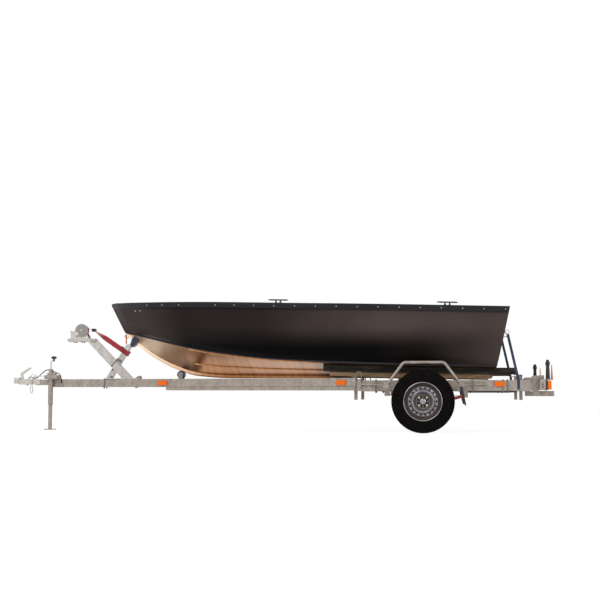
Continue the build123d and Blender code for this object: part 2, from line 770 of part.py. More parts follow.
clamp_plate = 8.0
clamp_half = 60.0
clamp_rod = 5.0
clamp_rise_share = 1.1
clamp_rise = clamp_rise_share * front_rise * (clamp_half / (wheel_x - spring_front)) ** 2
clamp_top = main_low + leaf_thick + clamp_rise + seat_gap
clamps = block(
    wheel_x - clamp_half, wheel_x + clamp_half, spring_low - 2 * clamp_rod, spring_high + 2 * clamp_rod,
    clamp_top, clamp_top + clamp_plate,
)
clamps += block(
    wheel_x - clamp_half, wheel_x + clamp_half, spring_low - 2 * clamp_rod, spring_high + 2 * clamp_rod,
    wheel_z - axle_size / 2 - clamp_plate, wheel_z - axle_size / 2,
)
clamp_rod_low = wheel_z - axle_size / 2 - 2 * clamp_plate
clamp_rod_high = clamp_top + 2 * clamp_plate
for x in (wheel_x - axle_size, wheel_x + axle_size):
    for y in (spring_low - clamp_rod, spring_high + clamp_rod):
        clamps += rod((x, y, clamp_rod_low), (x, y, clamp_rod_high), clamp_rod)
save("spring_mounts", *hangers, clamps, other_side(clamps))

# Wheels: tyre, steel rim with its disc, hub with dust cap
rim_radius = 165.0
rim_flange = 176.0
rim_well = 142.0
rim_half = 62.0
rim_wall = 3.0
bead_width = 14.0
tyre_half = tyre_width / 2
tread_half = 58.0
shoulder = 16.0
disc_offset = 22.0
hub_radius = 66.0
hub_bore = stub_radius + 0.5
hub_inner = wheel_half_track - 100.0
vent_count = 18
vent_radius = 7.5
vent_circle = 120.0
bolt_count = 4
bolt_circle = 49.0
bolt_radius = 9.0
bolt_height = 12.0
cap_radius = 25.0
cap_depth = 30.0


def around_wheel(outline):
    # A ring turned about the wheel's axis from an outline in radius and Y
    wire = Wire(outline)
    return revolve(Face(wire), axis=Axis((wheel_x, wheel_half_track, wheel_z), (0, 1, 0)))


def at_wheel(radius, out):
    return Vector(wheel_x, wheel_half_track + out, wheel_z + radius)


def outline_of(points):
    return Wire.make_polygon([at_wheel(r, y) for r, y in points], close=True)


bulge_radius = (tyre_radius + rim_radius) / 2
bead_top = rim_flange + 2 * rim_wall + seat_gap
wall_top = tyre_radius - shoulder
wall_half = tread_half + shoulder / 2
tread_edge = tyre_radius - shoulder / 4
seat_in, seat_out = at_wheel(rim_radius, -rim_half), at_wheel(rim_radius, rim_half)
bead_in, bead_out = at_wheel(bead_top, -rim_half), at_wheel(bead_top, rim_half)
wall_in, wall_out = at_wheel(wall_top, -wall_half), at_wheel(wall_top, wall_half)
edge_in, edge_out = at_wheel(tread_edge, -tread_half), at_wheel(tread_edge, tread_half)
tyre_lines = [
    Edge.make_line(seat_in, seat_out),
    Edge.make_line(seat_out, bead_out),
    Edge.make_three_point_arc(bead_out, at_wheel(bulge_radius, tyre_half), wall_out),
    Edge.make_line(wall_out, edge_out),
    Edge.make_three_point_arc(edge_out, at_wheel(tyre_radius, 0), edge_in),
    Edge.make_line(edge_in, wall_in),
    Edge.make_three_point_arc(wall_in, at_wheel(bulge_radius, -tyre_half), bead_in),
    Edge.make_line(bead_in, seat_in),
]
tyre = around_wheel(tyre_lines)
save("tyre_left", other_side(tyre))
save("tyre_right", tyre)

# The rim is one profile of even wall: flanges, bead seats and the well between them
flange_out = rim_half + rim_wall
rim_points = [
    (rim_flange + rim_wall * 2, flange_out + rim_wall * 2),
    (rim_flange + rim_wall, flange_out + rim_wall * 2),
    (rim_radius - rim_wall, flange_out),
    (rim_radius - rim_wall, rim_half - 2 * bead_width),
    (rim_well - rim_wall, rim_half - 3 * bead_width),
    (rim_well - rim_wall, -rim_half + 3 * bead_width),
    (rim_radius - rim_wall, -rim_half + 2 * bead_width),
    (rim_radius - rim_wall, -flange_out),
    (rim_flange + rim_wall, -flange_out - rim_wall * 2),
    (rim_flange + rim_wall * 2, -flange_out - rim_wall * 2),
    (rim_flange + rim_wall * 2, -flange_out - rim_wall),
    (rim_flange + rim_wall, -rim_half - rim_wall / 2),
    (rim_radius, -rim_half - rim_wall / 2),
    (rim_radius, -rim_half + 2 * bead_width - rim_wall / 2),
    (rim_well, -rim_half + 3 * bead_width - rim_wall / 2),
    (rim_well, rim_half - 3 * bead_width + rim_wall / 2),
    (rim_radius, rim_half - 2 * bead_width + rim_wall / 2),
    (rim_radius, rim_half + rim_wall / 2),
    (rim_flange + rim_wall, rim_half + rim_wall / 2),
    (rim_flange + rim_wall * 2, flange_out + rim_wall),
]
rim = revolve(Face(outline_of(rim_points)), axis=Axis((wheel_x, wheel_half_track, wheel_z), (0, 1, 0)))

# The disc is pressed: flat at the hub, a raised ring, then a vented slope to the well
disc_wall = 4.0
disc_back = 26.0
# Columns: radius, rise of the front face from the level of the hub's flat
disc_rises = [
    (cap_radius + seat_gap, 0.0),
    (66.0, 0.0),
    (79.0, 18.0),
    (92.0, 30.0),
    (104.0, 30.0),
    (114.0, 20.0),
    (128.0, 10.0),
    (rim_well - rim_wall, 8.0),
]
disc_front = [(r, disc_offset - disc_back + rise) for r, rise in disc_rises]
disc_points = disc_front + [(r, y - disc_wall) for r, y in reversed(disc_front)]
disc = revolve(Face(outline_of(disc_points)), axis=Axis((wheel_x, wheel_half_track, wheel_z), (0, 1, 0)))
for index in range(vent_count):
    angle = 2 * math.pi * index / vent_count
    x = wheel_x + vent_circle * math.sin(angle)
    z = wheel_z + vent_circle * math.cos(angle)
    disc -= rod((x, wheel_half_track - rim_half, z), (x, wheel_half_track + rim_half, z), vent_radius)
rim = rim + disc

hub_back = wheel_half_track + disc_offset - disc_back - disc_wall
hub_barrel = 44.0
hub_flange = 12.0
bore_past = 2.0
hub = rod((wheel_x, hub_inner, wheel_z), (wheel_x, hub_back, wheel_z), hub_barrel)
hub += rod((wheel_x, hub_back - hub_flange, wheel_z), (wheel_x, hub_back, wheel_z), hub_radius)
hub += rod((wheel_x, hub_back, wheel_z), (wheel_x, hub_back + cap_depth, wheel_z), cap_radius)
hub -= rod((wheel_x, hub_inner - bore_past, wheel_z), (wheel_x, stub_end + bore_past, wheel_z), hub_bore)
bolt_seat = hub_back + disc_wall + seat_gap
shank_low = hub_back - bore_past
shank_high = bolt_seat + bore_past
for index in range(bolt_count):
    angle = math.pi * (2 * index + 1) / bolt_count
    x = wheel_x + bolt_circle * math.sin(angle)
    z = wheel_z + bolt_circle * math.cos(angle)
    hub += rod((x, bolt_seat, z), (x, bolt_seat + bolt_height, z), bolt_radius)
    hub += rod((x, shank_low, z), (x, shank_high, z), bolt_radius / 2)
    rim -= rod((x, shank_low, z), (x, shank_high, z), bolt_radius / 2 + seat_gap)
save("rim_left", other_side(rim))
save("rim_right", rim)
save("hub_left", other_side(hub))
save("hub_right", hub)

# Guard hoops over the wheels: a bent tube on brackets at the ends of outrigger tubes
hoop_radius = 14.0
hoop_bore = 11.0
hoop_bend = 45.0
hoop_foot_z = 436.0
hoop_top_z = 646.0
hoop_foot_front = wheel_x - 331.0
hoop_foot_rear = wheel_x + 352.0
hoop_top_front = wheel_x - 175.0
hoop_top_rear = wheel_x + 195.0
outrigger_z = 447.0
outrigger_radius = 12.0
outrigger_front = rail_start + 55.0
outrigger_rear = wheel_x + 575.0
foot_half = 20.0
foot_low = 412.0
foot_top = outrigger_z + outrigger_radius + 2.0
hoop_path = [
    (hoop_foot_front, wheel_half_track, hoop_foot_z),
    (hoop_top_front, wheel_half_track, hoop_top_z),
    (hoop_top_rear, wheel_half_track, hoop_top_z),
    (hoop_foot_rear, wheel_half_track, hoop_foot_z),
]
hoop = bent_rod(hoop_path, hoop_radius, hoop_bend)
outrigger_y = rail_outer + outrigger_radius
outrigger_bend_share = 0.45
guards = hoop
for start_x, foot_x in ((outrigger_front, hoop_foot_front), (outrigger_rear, hoop_foot_rear)):
    bend_x = start_x + (foot_x - start_x) * outrigger_bend_share
    path = [
        (start_x, outrigger_y + seat_gap, outrigger_z),
        (bend_x, outrigger_y + seat_gap, outrigger_z),
        (foot_x, wheel_half_track, outrigger_z),
    ]
    guards += bent_rod(path, outrigger_radius, hoop_bend)
    guards += block(
        foot_x - foot_half, foot_x + foot_half, wheel_half_track - foot_half, wheel_half_track + foot_half,
        foot_low, foot_top,
    )
save("wheel_guards", guards, other_side(guards))

# Mudflaps hang behind the wheels from the rear brackets
flap_thick = 4.0
flap_half = 72.0
flap_length = 172.0
flap_lean = 0.28
flap_top = foot_low - seat_gap
flap_x = hoop_foot_rear - 16.0
flap_points = [
    (flap_x, flap_top),
    (flap_x + flap_thick, flap_top),
    (flap_x + flap_thick + flap_length * flap_lean, flap_top - flap_length),
    (flap_x + flap_length * flap_lean, flap_top - flap_length),
]
flap = slab(flap_points, wheel_half_track - flap_half, wheel_half_track + flap_half)
save("mudflaps", flap, other_side(flap))

# Winch stand: two crossed square tubes on a base plate
stand_plate_front = nose_x + 965.0
stand_plate_rear = nose_x + 1327.0
stand_plate_half = 55.0
stand_plate_thick = 8.0
stand_top = beam_top + stand_plate_thick
stand_plate = block(
    stand_plate_front, stand_plate_rear, -stand_plate_half, stand_plate_half, beam_top, stand_top,
)
winch_post_width = 70.0
stop_post_width = 50.0
post_wall = 3.0
table_low = 886.0
table_top = 918.0
table_front = nose_x + 571.0
table_rear = nose_x + 856.0
table_wall = 4.0
winch_post_foot = (nose_x + 1139.0, nose_x + 1245.0)
winch_post_head = (nose_x + 753.0, nose_x + 859.0)


def leaning_tube(foot, head, low, high, width, wall):
    # A square tube leaning in the XZ plane with level ends; feet and heads are pairs of X
    outer = slab([(foot[0], low), (foot[1], low), (head[1], high), (head[0], high)], -width / 2, width / 2)
    if not wall:
        return outer
    lean = math.hypot(head[0] - foot[0], high - low) / (high - low) * wall
    room = slab(
        [(foot[0] + lean, low), (foot[1] - lean, low), (head[1] - lean, high), (head[0] + lean, high)],
        wall - width / 2, width / 2 - wall,
    )
    return outer - room


table_inner = table_top - table_wall
winch_post = leaning_tube(
    winch_post_foot, winch_post_head, stand_top, table_inner, winch_post_width, post_wall,
)
stop_post_foot = (nose_x + 972.0, nose_x + 1034.0)
stop_post_head = (nose_x + 1180.0, nose_x + 1242.0)
stop_head_z = 858.0
stop_post = leaning_tube(stop_post_foot, stop_post_head, stand_top, stop_head_z, stop_post_width, post_wall)
stop_room = leaning_tube(
    (stop_post_foot[0] - seat_gap, stop_post_foot[1] + seat_gap),
    (stop_post_head[0] - seat_gap, stop_post_head[1] + seat_gap),
    stand_top, stop_head_z, stop_post_width + seat_gap, 0,
)
table_half = winch_post_width / 2 + table_wall
table = block(table_front, table_rear, -table_half, table_half, table_low, table_top)
table -= block(
    table_front, table_rear, -winch_post_width / 2, winch_post_width / 2, table_low, table_inner,
)
winch_post = winch_post - stop_room
save("winch_stand", stand_plate + winch_post + table + stop_post)

# Bow stop: a rubber vee block that cradles the stem's foot
hull_clear = 1.0
stop_half = 52.0
# Columns: X and Z from the post's rear upper edge
stop_offsets = [
    (-13.0, -27.0),
    (-2.0, 49.0),
    (26.0, 83.0),
    (70.0, 40.0),
    (36.0, -4.0),
    (8.0, -27.0),
]
stop_points = [(stop_post_head[1] + dx, stop_head_z + dz) for dx, dz in stop_offsets]
keel_room = []
for section in sections[:5]:
    z = section.outline[4][1]
    half = keel_width / 2 + hull_clear
    reach = hull_depth / 4
    floor_z = z - keel_height - hull_clear
    corners = [(half, z + reach), (half, floor_z), (-half, floor_z), (-half, z + reach)]
    keel_room.append((section, corners))
bow_stop = slab(stop_points, -stop_half, stop_half)
bow_stop = bow_stop - loft_through(keel_room) - hull_space(-hull_clear) - stop_room
save("bow_stop", bow_stop.solids().sort_by(SortBy.VOLUME)[-1])

# Winch on its table: two cheeks, the strap drum between them and the big gear outside
winch_front = nose_x + 602.0
winch_rear = nose_x + 794.0
winch_cheek = 4.0
winch_half = 36.0
drum_x = nose_x + 717.0
drum_z = 1000.0
gear_x = nose_x + 663.0
gear_z = 960.0
gear_radius = 66.0
gear_thick = 8.0
gear_hub = 15.0
drum_shaft = 9.0
strap_width = 50.0
strap_thick = 3.0
strap_roll = 50.0
cheek_shoulder = 60.0
cheek_slope = 30.0
cheek_head = 22.0
cheek_points = [
    (winch_front, table_top),
    (winch_rear, table_top),
    (winch_rear - cheek_slope, table_top + cheek_shoulder),
    (drum_x + cheek_head, drum_z + cheek_head),
    (drum_x - cheek_head, drum_z + cheek_head),
    (winch_front, table_top + cheek_shoulder),
]
cheek_out = winch_half + winch_cheek
frame = block(winch_front, winch_rear, -cheek_out, cheek_out, table_top, table_top + winch_cheek)
for y in (-cheek_out, winch_half):
    frame += slab(cheek_points, y, y + winch_cheek)
pinion_end = -cheek_out - gear_thick - gear_hub
frame += rod((gear_x, pinion_end, gear_z), (gear_x, cheek_out, gear_z), gear_hub)
shaft_end = winch_half + cut_margin
frame -= rod((drum_x, -shaft_end, drum_z), (drum_x, shaft_end, drum_z), drum_shaft + seat_gap)
save("winch_frame", frame)
gear_y = -cheek_out - seat_gap
pinion_clear = 2.0
shaft_past = 6.0
gear = rod((drum_x, gear_y - gear_thick, drum_z), (drum_x, gear_y, drum_z), gear_radius)
gear += rod((drum_x, gear_y - gear_thick - gear_hub / 2, drum_z), (drum_x, gear_y, drum_z), gear_hub)
gear -= rod((gear_x, gear_y - cut_margin, gear_z), (gear_x, gear_y, gear_z), gear_hub + pinion_clear)
gear += rod((drum_x, gear_y, drum_z), (drum_x, cheek_out + shaft_past, drum_z), drum_shaft)
save("winch_drum", gear)

# The strap: its roll, the run that twists from flat to upright, and the tail sewn round the post
keeper_x = nose_x + 836.0
keeper_z = 1003.0
lap_x = nose_x + 1140.0
lap_z = 800.0
strap_y = -stop_post_width / 2 - 2.0 * strap_thick
twist_steps = 4
roll_ends = [(drum_x, -strap_width / 2, drum_z), (drum_x, strap_width / 2, drum_z)]
roll = rod(*roll_ends, strap_roll, drum_shaft + seat_gap)


def strap_section(center, tilt):
    # One cross-section of the strap, tilted about its run from level to upright
    along = (Vector(lap_x, strap_y, lap_z) - Vector(keeper_x, 0, keeper_z)).normalized()
    level = Vector(0, 1, 0) - along * along.Y
    level = level.normalized()
    upright = along.cross(level)
    wide = level * math.cos(tilt) + upright * math.sin(tilt)
    thin = along.cross(wide)
    corners = [(-1, -1), (1, -1), (1, 1), (-1, 1)]
    points = [center + wide * (a * strap_width / 2) + thin * (b * strap_thick / 2) for a, b in corners]
    return Wire.make_polygon(points, close=True)


run_start = Vector(drum_x + strap_roll * 0.6, 0, drum_z + strap_roll * 0.68)
run_keeper = Vector(keeper_x, 0, keeper_z)
run_end = Vector(lap_x, strap_y, lap_z)
run_wires = [strap_section(run_start, 0), strap_section(run_keeper, 0)]
for step in range(1, twist_steps + 1):
    share = step / twist_steps
    run_wires.append(strap_section(run_keeper + (run_end - run_keeper) * share, math.pi / 2 * share))
run = Solid.make_loft(run_wires, ruled=True)
save("winch_strap", roll + run)

# Snap hook from the strap's loop to the eye on the stem
hook_rod = 3.5
hook_half = 12.5
hook_low = stop_head_z + 6.0
hook_x = eye_x - 6.0
hook_high = eye_z + eye_rod + hook_rod + 1.0
hook_path = Plane(origin=(hook_x, 0, (hook_low + hook_high) / 2), x_dir=(0, 1, 0), z_dir=(1, 0, 0))
slot = hook_path * SlotOverall(hook_high - hook_low, 2 * hook_half, rotation=90)
slot_wire = slot.face().outer_wire()
hook = sweep(Plane(origin=slot_wire @ 0, z_dir=slot_wire % 0) * Circle(hook_rod), path=slot_wire)
save("strap_hook", hook)

# Jack: a clamp on the drawbar, the outer tube with its crank, and the leg that slides in it
jack_x = nose_x + 412.0
jack_y = -72.0
jack_tube = 24.0
jack_wall = 3.5
leg_radius = 19.0
leg_wall = 3.0
leg_clear = 0.5
jack_low = 250.0
jack_high = 549.0
leg_top = 342.0
foot_radius = 60.0
foot_thick = 8.0
clamp_front = jack_x - 60.0
clamp_rear = jack_x + 75.0
clamp_high = 549.0
clamp_near = jack_y - jack_tube - 8.0
jack_collar = 22.0
collar_radius = 36.0
collar_top = 611.0
stem_radius = 7.5
crank_z = 690.0
crank_reach = 30.0
knob_radius = 28.0
knob_low = 712.0
knob_high = 741.0
clamp = block(clamp_front, clamp_rear, clamp_near, nose_tube_width / 2, beam_top, clamp_high)
clamp -= rod((jack_x, jack_y, beam_top - cut_margin), (jack_x, jack_y, clamp_high + cut_margin), jack_tube)
jack = rod((jack_x, jack_y, jack_low), (jack_x, jack_y, jack_high), jack_tube, leg_radius + leg_clear)
jack += rod((jack_x, jack_y, jack_high), (jack_x, jack_y, jack_high + jack_collar), collar_radius)
jack += rod((jack_x, jack_y, jack_high + jack_collar), (jack_x, jack_y, collar_top), jack_collar)
jack += rod((jack_x, jack_y, collar_top), (jack_x, jack_y, crank_z), stem_radius)
crank_ends = [
    (jack_x - stem_radius, jack_y, crank_z),
    (jack_x + crank_reach + stem_radius, jack_y, crank_z),
]
jack += bar(*crank_ends, 2 * stem_radius, 2 * stem_radius)
jack += rod((jack_x + crank_reach, jack_y, crank_z), (jack_x + crank_reach, jack_y, knob_low), stem_radius)
jack += rod((jack_x + crank_reach, jack_y, knob_low), (jack_x + crank_reach, jack_y, knob_high), knob_radius)
save("jack_tube", clamp + jack)
leg = rod((jack_x, jack_y, foot_thick), (jack_x, jack_y, leg_top), leg_radius, leg_radius - leg_wall)
leg += rod((jack_x, jack_y, 0), (jack_x, jack_y, foot_thick), foot_radius)
save("jack_leg", leg)

# Coupling: a pressed head over the ball and a channel over the nose tube, with its lever
ball_radius = 25.0
ball_gap = 0.3
head_radius = 36.0
head_x = nose_x + head_radius
head_low = 464.0
head_top = 523.0
socket_depth = 18.0
coupling_wall = 5.0
body_front = head_x + ball_radius + 3.0
body_rear = nose_x + 285.0
body_half = nose_tube_width / 2 + coupling_wall
coupling = rod((head_x, 0, head_low), (head_x, 0, head_top), head_radius)
body_top = nose_tube_top + coupling_wall
body_low = nose_tube_top - nose_tube_height + 6.0
coupling += block(body_front, body_rear, -body_half, body_half, body_low, body_top)
tube_room = nose_tube_width / 2
coupling -= block(
    nose_tube_start, body_rear + cut_margin, -tube_room, tube_room, body_low - cut_margin, nose_tube_top,
)
bore = ball_radius + ball_gap
coupling -= rod((head_x, 0, head_low - cut_margin), (head_x, 0, head_low + socket_depth), bore)
coupling -= Pos(head_x, 0, head_low + socket_depth) * Sphere(bore)
lever_pivot_x = nose_x + 90.0
lever_half = 9.0
lever_points = [
    (lever_pivot_x - 12.0, body_top),
    (lever_pivot_x + 14.0, body_top),
    (lever_pivot_x + 4.0, body_top + 50.0),
    (nose_x + 182.0, 618.0),
    (nose_x + 172.0, 634.0),
    (lever_pivot_x - 24.0, body_top + 58.0),
]
save("coupling", coupling)
save("coupling_lever", slab([(x, z + seat_gap) for x, z in lever_points], -lever_half, lever_half))

# Trailer lead: a cord from its plug beside the coupling to the side of the drawbar
cord_radius = 4.75
plug_body = 15.0
parked_y = body_half + plug_body + seat_gap
cord_route = [
    (-2548.0, parked_y, 499.0),
    (-2540.0, parked_y, 528.0),
    (-2512.0, 14.0, 533.0),
    (-2484.0, -22.0, 524.0),
    (-2448.0, -41.0, 514.0),
    (-2410.0, -42.0, 528.0),
    (-2378.0, -41.0, 560.0),
    (-2345.0, -39.0, 594.0),
    (-2304.0, -36.0, 606.0),
    (-2262.0, -36.0, 594.0),
    (-2226.0, -38.0, 574.0),
    (-2184.0, -44.0, 560.0),
    (-2168.0, -50.0, 526.0),
    (entry_box_x, entry_box_y, 492.0),
    (entry_box_x, entry_box_y, entry_box_top + seat_gap),
]


def cord_path(route):
    # Straight runs joined by arcs as large as the runs allow
    points = [Vector(*p) for p in route]
    radii = []
    for before, here, after in zip(points, points[1:], points[2:]):
        turn = math.radians((here - before).get_angle(after - here))
        shorter = min((here - before).length, (after - here).length)
        radii.append(0.45 * shorter / math.tan(turn / 2))
    print("cord radii", [round(r) for r in radii])
    return FilletPolyline(*points, radius=radii)


path = cord_path(cord_route)
lead = sweep(Plane(origin=path @ 0, z_dir=path % 0) * Circle(cord_radius), path=path)
print("cord volume", lead.volume, "expected", math.pi * cord_radius ** 2 * path.length)
save("trailer_lead", lead)
lead_plug_length = 52.0
plug_axis = (Vector(*cord_route[0]) - Vector(*cord_route[1])).normalized()
plug_end = Vector(*cord_route[0]) + plug_axis * lead_plug_length
save("lead_plug", rod(tuple(plug_end), cord_route[0], plug_body))

# Side markers: amber lamps on the arms and the rails
marker_length = 92.0
marker_height = 44.0
marker_thick = 18.0
arm_direction = Vector(1, arm_slope, 0).normalized()
markers = []
for x, z in ((nose_x + 1590.0, beam_mid), (nose_x + 3400.0, beam_mid - 4.0)):
    seat_y = arm_half + (x - arm_start) * arm_slope + marker_thick / 2 * arm_skew + seat_gap
    center = Vector(x, seat_y, z)
    ends = [tuple(center + arm_direction * (side * marker_length / 2)) for side in (-1, 1)]
    markers.append(bar(*ends, marker_thick, marker_height))
marker_x = tail_x - 491.0
marker_low = rail_mid - 8.0
markers.append(block(
    marker_x - marker_length / 2, marker_x + marker_length / 2,
    rail_outer + seat_gap, rail_outer + marker_thick,
    marker_low, marker_low + marker_height,
))
save("side_markers", *markers, *[other_side(marker) for marker in markers])

# Rear: a cross channel at the rails' ends with shelves for the lamps, and stub bars below
lamp_bar_depth = 50.0
lamp_bar_end = rail_end + lamp_bar_depth
lamp_bar_half = lamp_half_width + 18.0
shelf_thick = 6.0
shelf_inner = 560.0
lamp_bar = block(rail_end, lamp_bar_end, -lamp_bar_half, lamp_bar_half, rail_low + 8.0, rail_top)
lamp_bar -= block(
    rail_end + beam_wall, lamp_bar_end - beam_wall, -lamp_bar_half, lamp_bar_half,
    rail_low + 8.0 + beam_wall, rail_top - beam_wall,
)
for side in (-1, 1):
    y_low, y_high = sorted((side * shelf_inner, side * lamp_bar_half))
    lamp_bar += block(rail_end, tail_x - 20.0, y_low, y_high, rail_top, rail_top + shelf_thick)
save("lamp_bar", lamp_bar)
stub_bar_start = tail_x - 189.0
stub_bar_height = 48.0
stub_bars = []
for y in (-rail_outer, rail_inner):
    stub_bars.append(bar(
        (stub_bar_start, y + rail_width / 2, rail_low - stub_bar_height / 2),
        (tail_x, y + rail_width / 2, rail_low - stub_bar_height / 2),
        rail_width, stub_bar_height, beam_wall,
    ))
save("stub_bars", *stub_bars)

# Rear lamp clusters, stalk lamps and triangle reflectors
lamp_base_thick = 16.0
lamp_lens_thick = 36.0
lamp_inner = 600.0
lamp_low = 390.0
lamp_high = rail_top - seat_gap
lamps = block(
    lamp_bar_end + seat_gap, lamp_bar_end + lamp_base_thick,
    lamp_inner, lamp_bar_half, lamp_low, lamp_high,
)
lamps += block(
    lamp_bar_end + lamp_base_thick, lamp_bar_end + lamp_base_thick + lamp_lens_thick,
    lamp_inner + 6.0, lamp_bar_half - 6.0, lamp_low + 7.0, lamp_high - 7.0,
)
save("tail_lamps", lamps, other_side(lamps))
stalk_x = tail_x - 71.0
stalk_radius = 13.0
stalk_top = 664.0
stalk_foot = 20.0
shelf_top = rail_top + shelf_thick
stalk = Pos(stalk_x, lamp_half_width, shelf_top) * Cone(
    stalk_foot, stalk_radius, stalk_top - shelf_top, align=(Align.CENTER, Align.CENTER, Align.MIN),
)
stalk -= block(
    stalk_x - cut_margin, stalk_x + cut_margin, lamp_bar_half, lamp_bar_half + cut_margin,
    shelf_top, stalk_top,
)
stalk += rod(
    (stalk_x - stalk_radius - 6.0, lamp_half_width, stalk_top - 34.0),
    (stalk_x + stalk_radius + 6.0, lamp_half_width, stalk_top - 34.0), 17.0,
)
save("stalk_lamps", stalk, other_side(stalk))
triangle_size = 150.0
triangle_thick = 7.0
triangle_y = 690.0
triangle_x = tail_x - 30.0
triangle_high = shelf_top + triangle_size * math.sqrt(3) / 2
triangle_corners = [
    Vector(triangle_x, triangle_y - triangle_size / 2, shelf_top),
    Vector(triangle_x, triangle_y + triangle_size / 2, shelf_top),
    Vector(triangle_x, triangle_y, triangle_high),
]
triangle = Solid.extrude(Face(Wire.make_polygon(triangle_corners, close=True)), Vector(triangle_thick, 0, 0))
save("triangles", triangle, other_side(triangle))

# Tie-down straps from the transom's eyes to the rails
tie_width = 25.0
tie_thick = 2.5
tie_y = rail_outer + tie_thick / 2 + seat_gap
tie_top_x = anchor_seat.X + anchor_out + eye_rod + tie_width / 2
tie_top_z = anchor_seat.Z
tie_bend = (tail_x - 320.0, rail_top)
tie_foot_z = rail_low + 14.0
tie_points = [
    (tie_top_x - tie_width / 2, tie_top_z),
    (tie_bend[0] - tie_width / 2, tie_bend[1]),
    (tie_bend[0] - tie_width / 2, tie_foot_z),
    (tie_bend[0] + tie_width / 2, tie_foot_z),
    (tie_bend[0] + tie_width / 2, tie_bend[1]),
    (tie_top_x + tie_width / 2, tie_top_z),
]
tie = slab(tie_points, tie_y - tie_thick / 2, tie_y + tie_thick / 2)
save("tie_straps", tie, other_side(tie))
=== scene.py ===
import math
import bpy
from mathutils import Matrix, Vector


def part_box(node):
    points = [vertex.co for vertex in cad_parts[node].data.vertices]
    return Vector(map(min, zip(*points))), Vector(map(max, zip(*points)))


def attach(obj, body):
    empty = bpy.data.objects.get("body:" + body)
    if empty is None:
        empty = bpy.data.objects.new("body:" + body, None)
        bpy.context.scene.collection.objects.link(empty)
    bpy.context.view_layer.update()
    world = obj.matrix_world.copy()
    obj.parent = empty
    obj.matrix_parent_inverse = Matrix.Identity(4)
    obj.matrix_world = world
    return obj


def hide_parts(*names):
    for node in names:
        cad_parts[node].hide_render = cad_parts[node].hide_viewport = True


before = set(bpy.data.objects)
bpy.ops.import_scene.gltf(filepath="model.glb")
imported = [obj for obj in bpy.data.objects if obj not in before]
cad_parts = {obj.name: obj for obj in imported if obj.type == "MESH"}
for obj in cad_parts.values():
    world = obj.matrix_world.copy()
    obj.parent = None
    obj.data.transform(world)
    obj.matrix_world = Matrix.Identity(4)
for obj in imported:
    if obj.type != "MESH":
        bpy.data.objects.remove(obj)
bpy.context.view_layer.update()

mm = 0.001
root_body = "boat_and_trailer"

# Viewpoint: low on the ground beside the trailer's rear half, with a long lens turned a
# little towards the bow and upwards, so that the ground is seen nearly edge on.
camera_place = (1.736, -11.57, 0.348)
camera_pitch = math.radians(94.6224)
camera_yaw = math.radians(7.2516)
lens_length, sensor_width = 70.5, 36.0
bpy.ops.object.camera_add(location=camera_place, rotation=(camera_pitch, 0.0, camera_yaw))
camera = bpy.context.object
camera.data.lens = lens_length
camera.data.sensor_width = sensor_width
camera.data.clip_end = 200.0
bpy.context.scene.camera = camera
bpy.context.scene.view_settings.view_transform = "Standard"


# Floor and backdrop: a pale studio sweep. The paint is plain white, and a share of its own
# light keeps it white behind the trailer while the soft shadow under the tyres stays.
def from_hex(text):
    channels = [int(text[i:i + 2], 16) / 255 for i in (1, 3, 5)]
    linear = [c / 12.92 if c <= 0.04045 else ((c + 0.055) / 1.055) ** 2.4 for c in channels]
    return (*linear, 1.0)


def add_node(tree, kind, settings=None, links=None):
    node = tree.nodes.new(kind)
    for name, value in (settings or {}).items():
        if isinstance(name, str) and hasattr(node, name):
            setattr(node, name, value)
        else:
            node.inputs[name].default_value = value
    for name, source in (links or {}).items():
        tree.links.new(source, node.inputs[name])
    return node


def seen_directly(tree):
    path = add_node(tree, "ShaderNodeLightPath")
    either = add_node(tree, "ShaderNodeMath", {"operation": "MAXIMUM"}, {
        0: path.outputs["Is Camera Ray"], 1: path.outputs["Is Glossy Ray"],
    })
    return add_node(tree, "ShaderNodeMath", {"operation": "MAXIMUM"}, {
        0: either.outputs[0], 1: path.outputs["Is Transmission Ray"],
    }).outputs[0]


floor_paint = bpy.data.materials.new("white_floor_paint")
floor_paint.use_nodes = True
tree = floor_paint.node_tree
tree.nodes.clear()
floor_white = from_hex("#F4F3F1")
own_light_share = 0.9
matt = add_node(tree, "ShaderNodeBsdfDiffuse", {"Color": floor_white})
glow_level = 1.05
glow = add_node(tree, "ShaderNodeEmission", {
    "Color": from_hex("#FFFFFF"), "Strength": glow_level,
})
share = add_node(tree, "ShaderNodeMath", {"operation": "MULTIPLY", 1: own_light_share}, {
    0: seen_directly(tree),
})
blend = add_node(tree, "ShaderNodeMixShader", {}, {
    "Fac": share.outputs[0], 1: matt.outputs[0], 2: glow.outputs[0],
})
add_node(tree, "ShaderNodeOutputMaterial", {}, {"Surface": blend.outputs[0]})

floor_size = 120.0
bpy.ops.mesh.primitive_plane_add(size=floor_size)
floor = bpy.context.object
floor.name = "floor_sweep"
floor.data.materials.append(floor_paint)

world = bpy.data.worlds.new("studio")
bpy.context.scene.world = world
world.use_nodes = True
tree = world.node_tree
tree.nodes.clear()
soft_level = 0.62
level = add_node(tree, "ShaderNodeMapRange", {3: soft_level, 4: 1.0}, {0: seen_directly(tree)})
air = add_node(tree, "ShaderNodeBackground", {"Color": from_hex("#FFFFFF")}, {
    "Strength": level.outputs[0],
})
add_node(tree, "ShaderNodeOutputWorld", {}, {"Surface": air.outputs[0]})

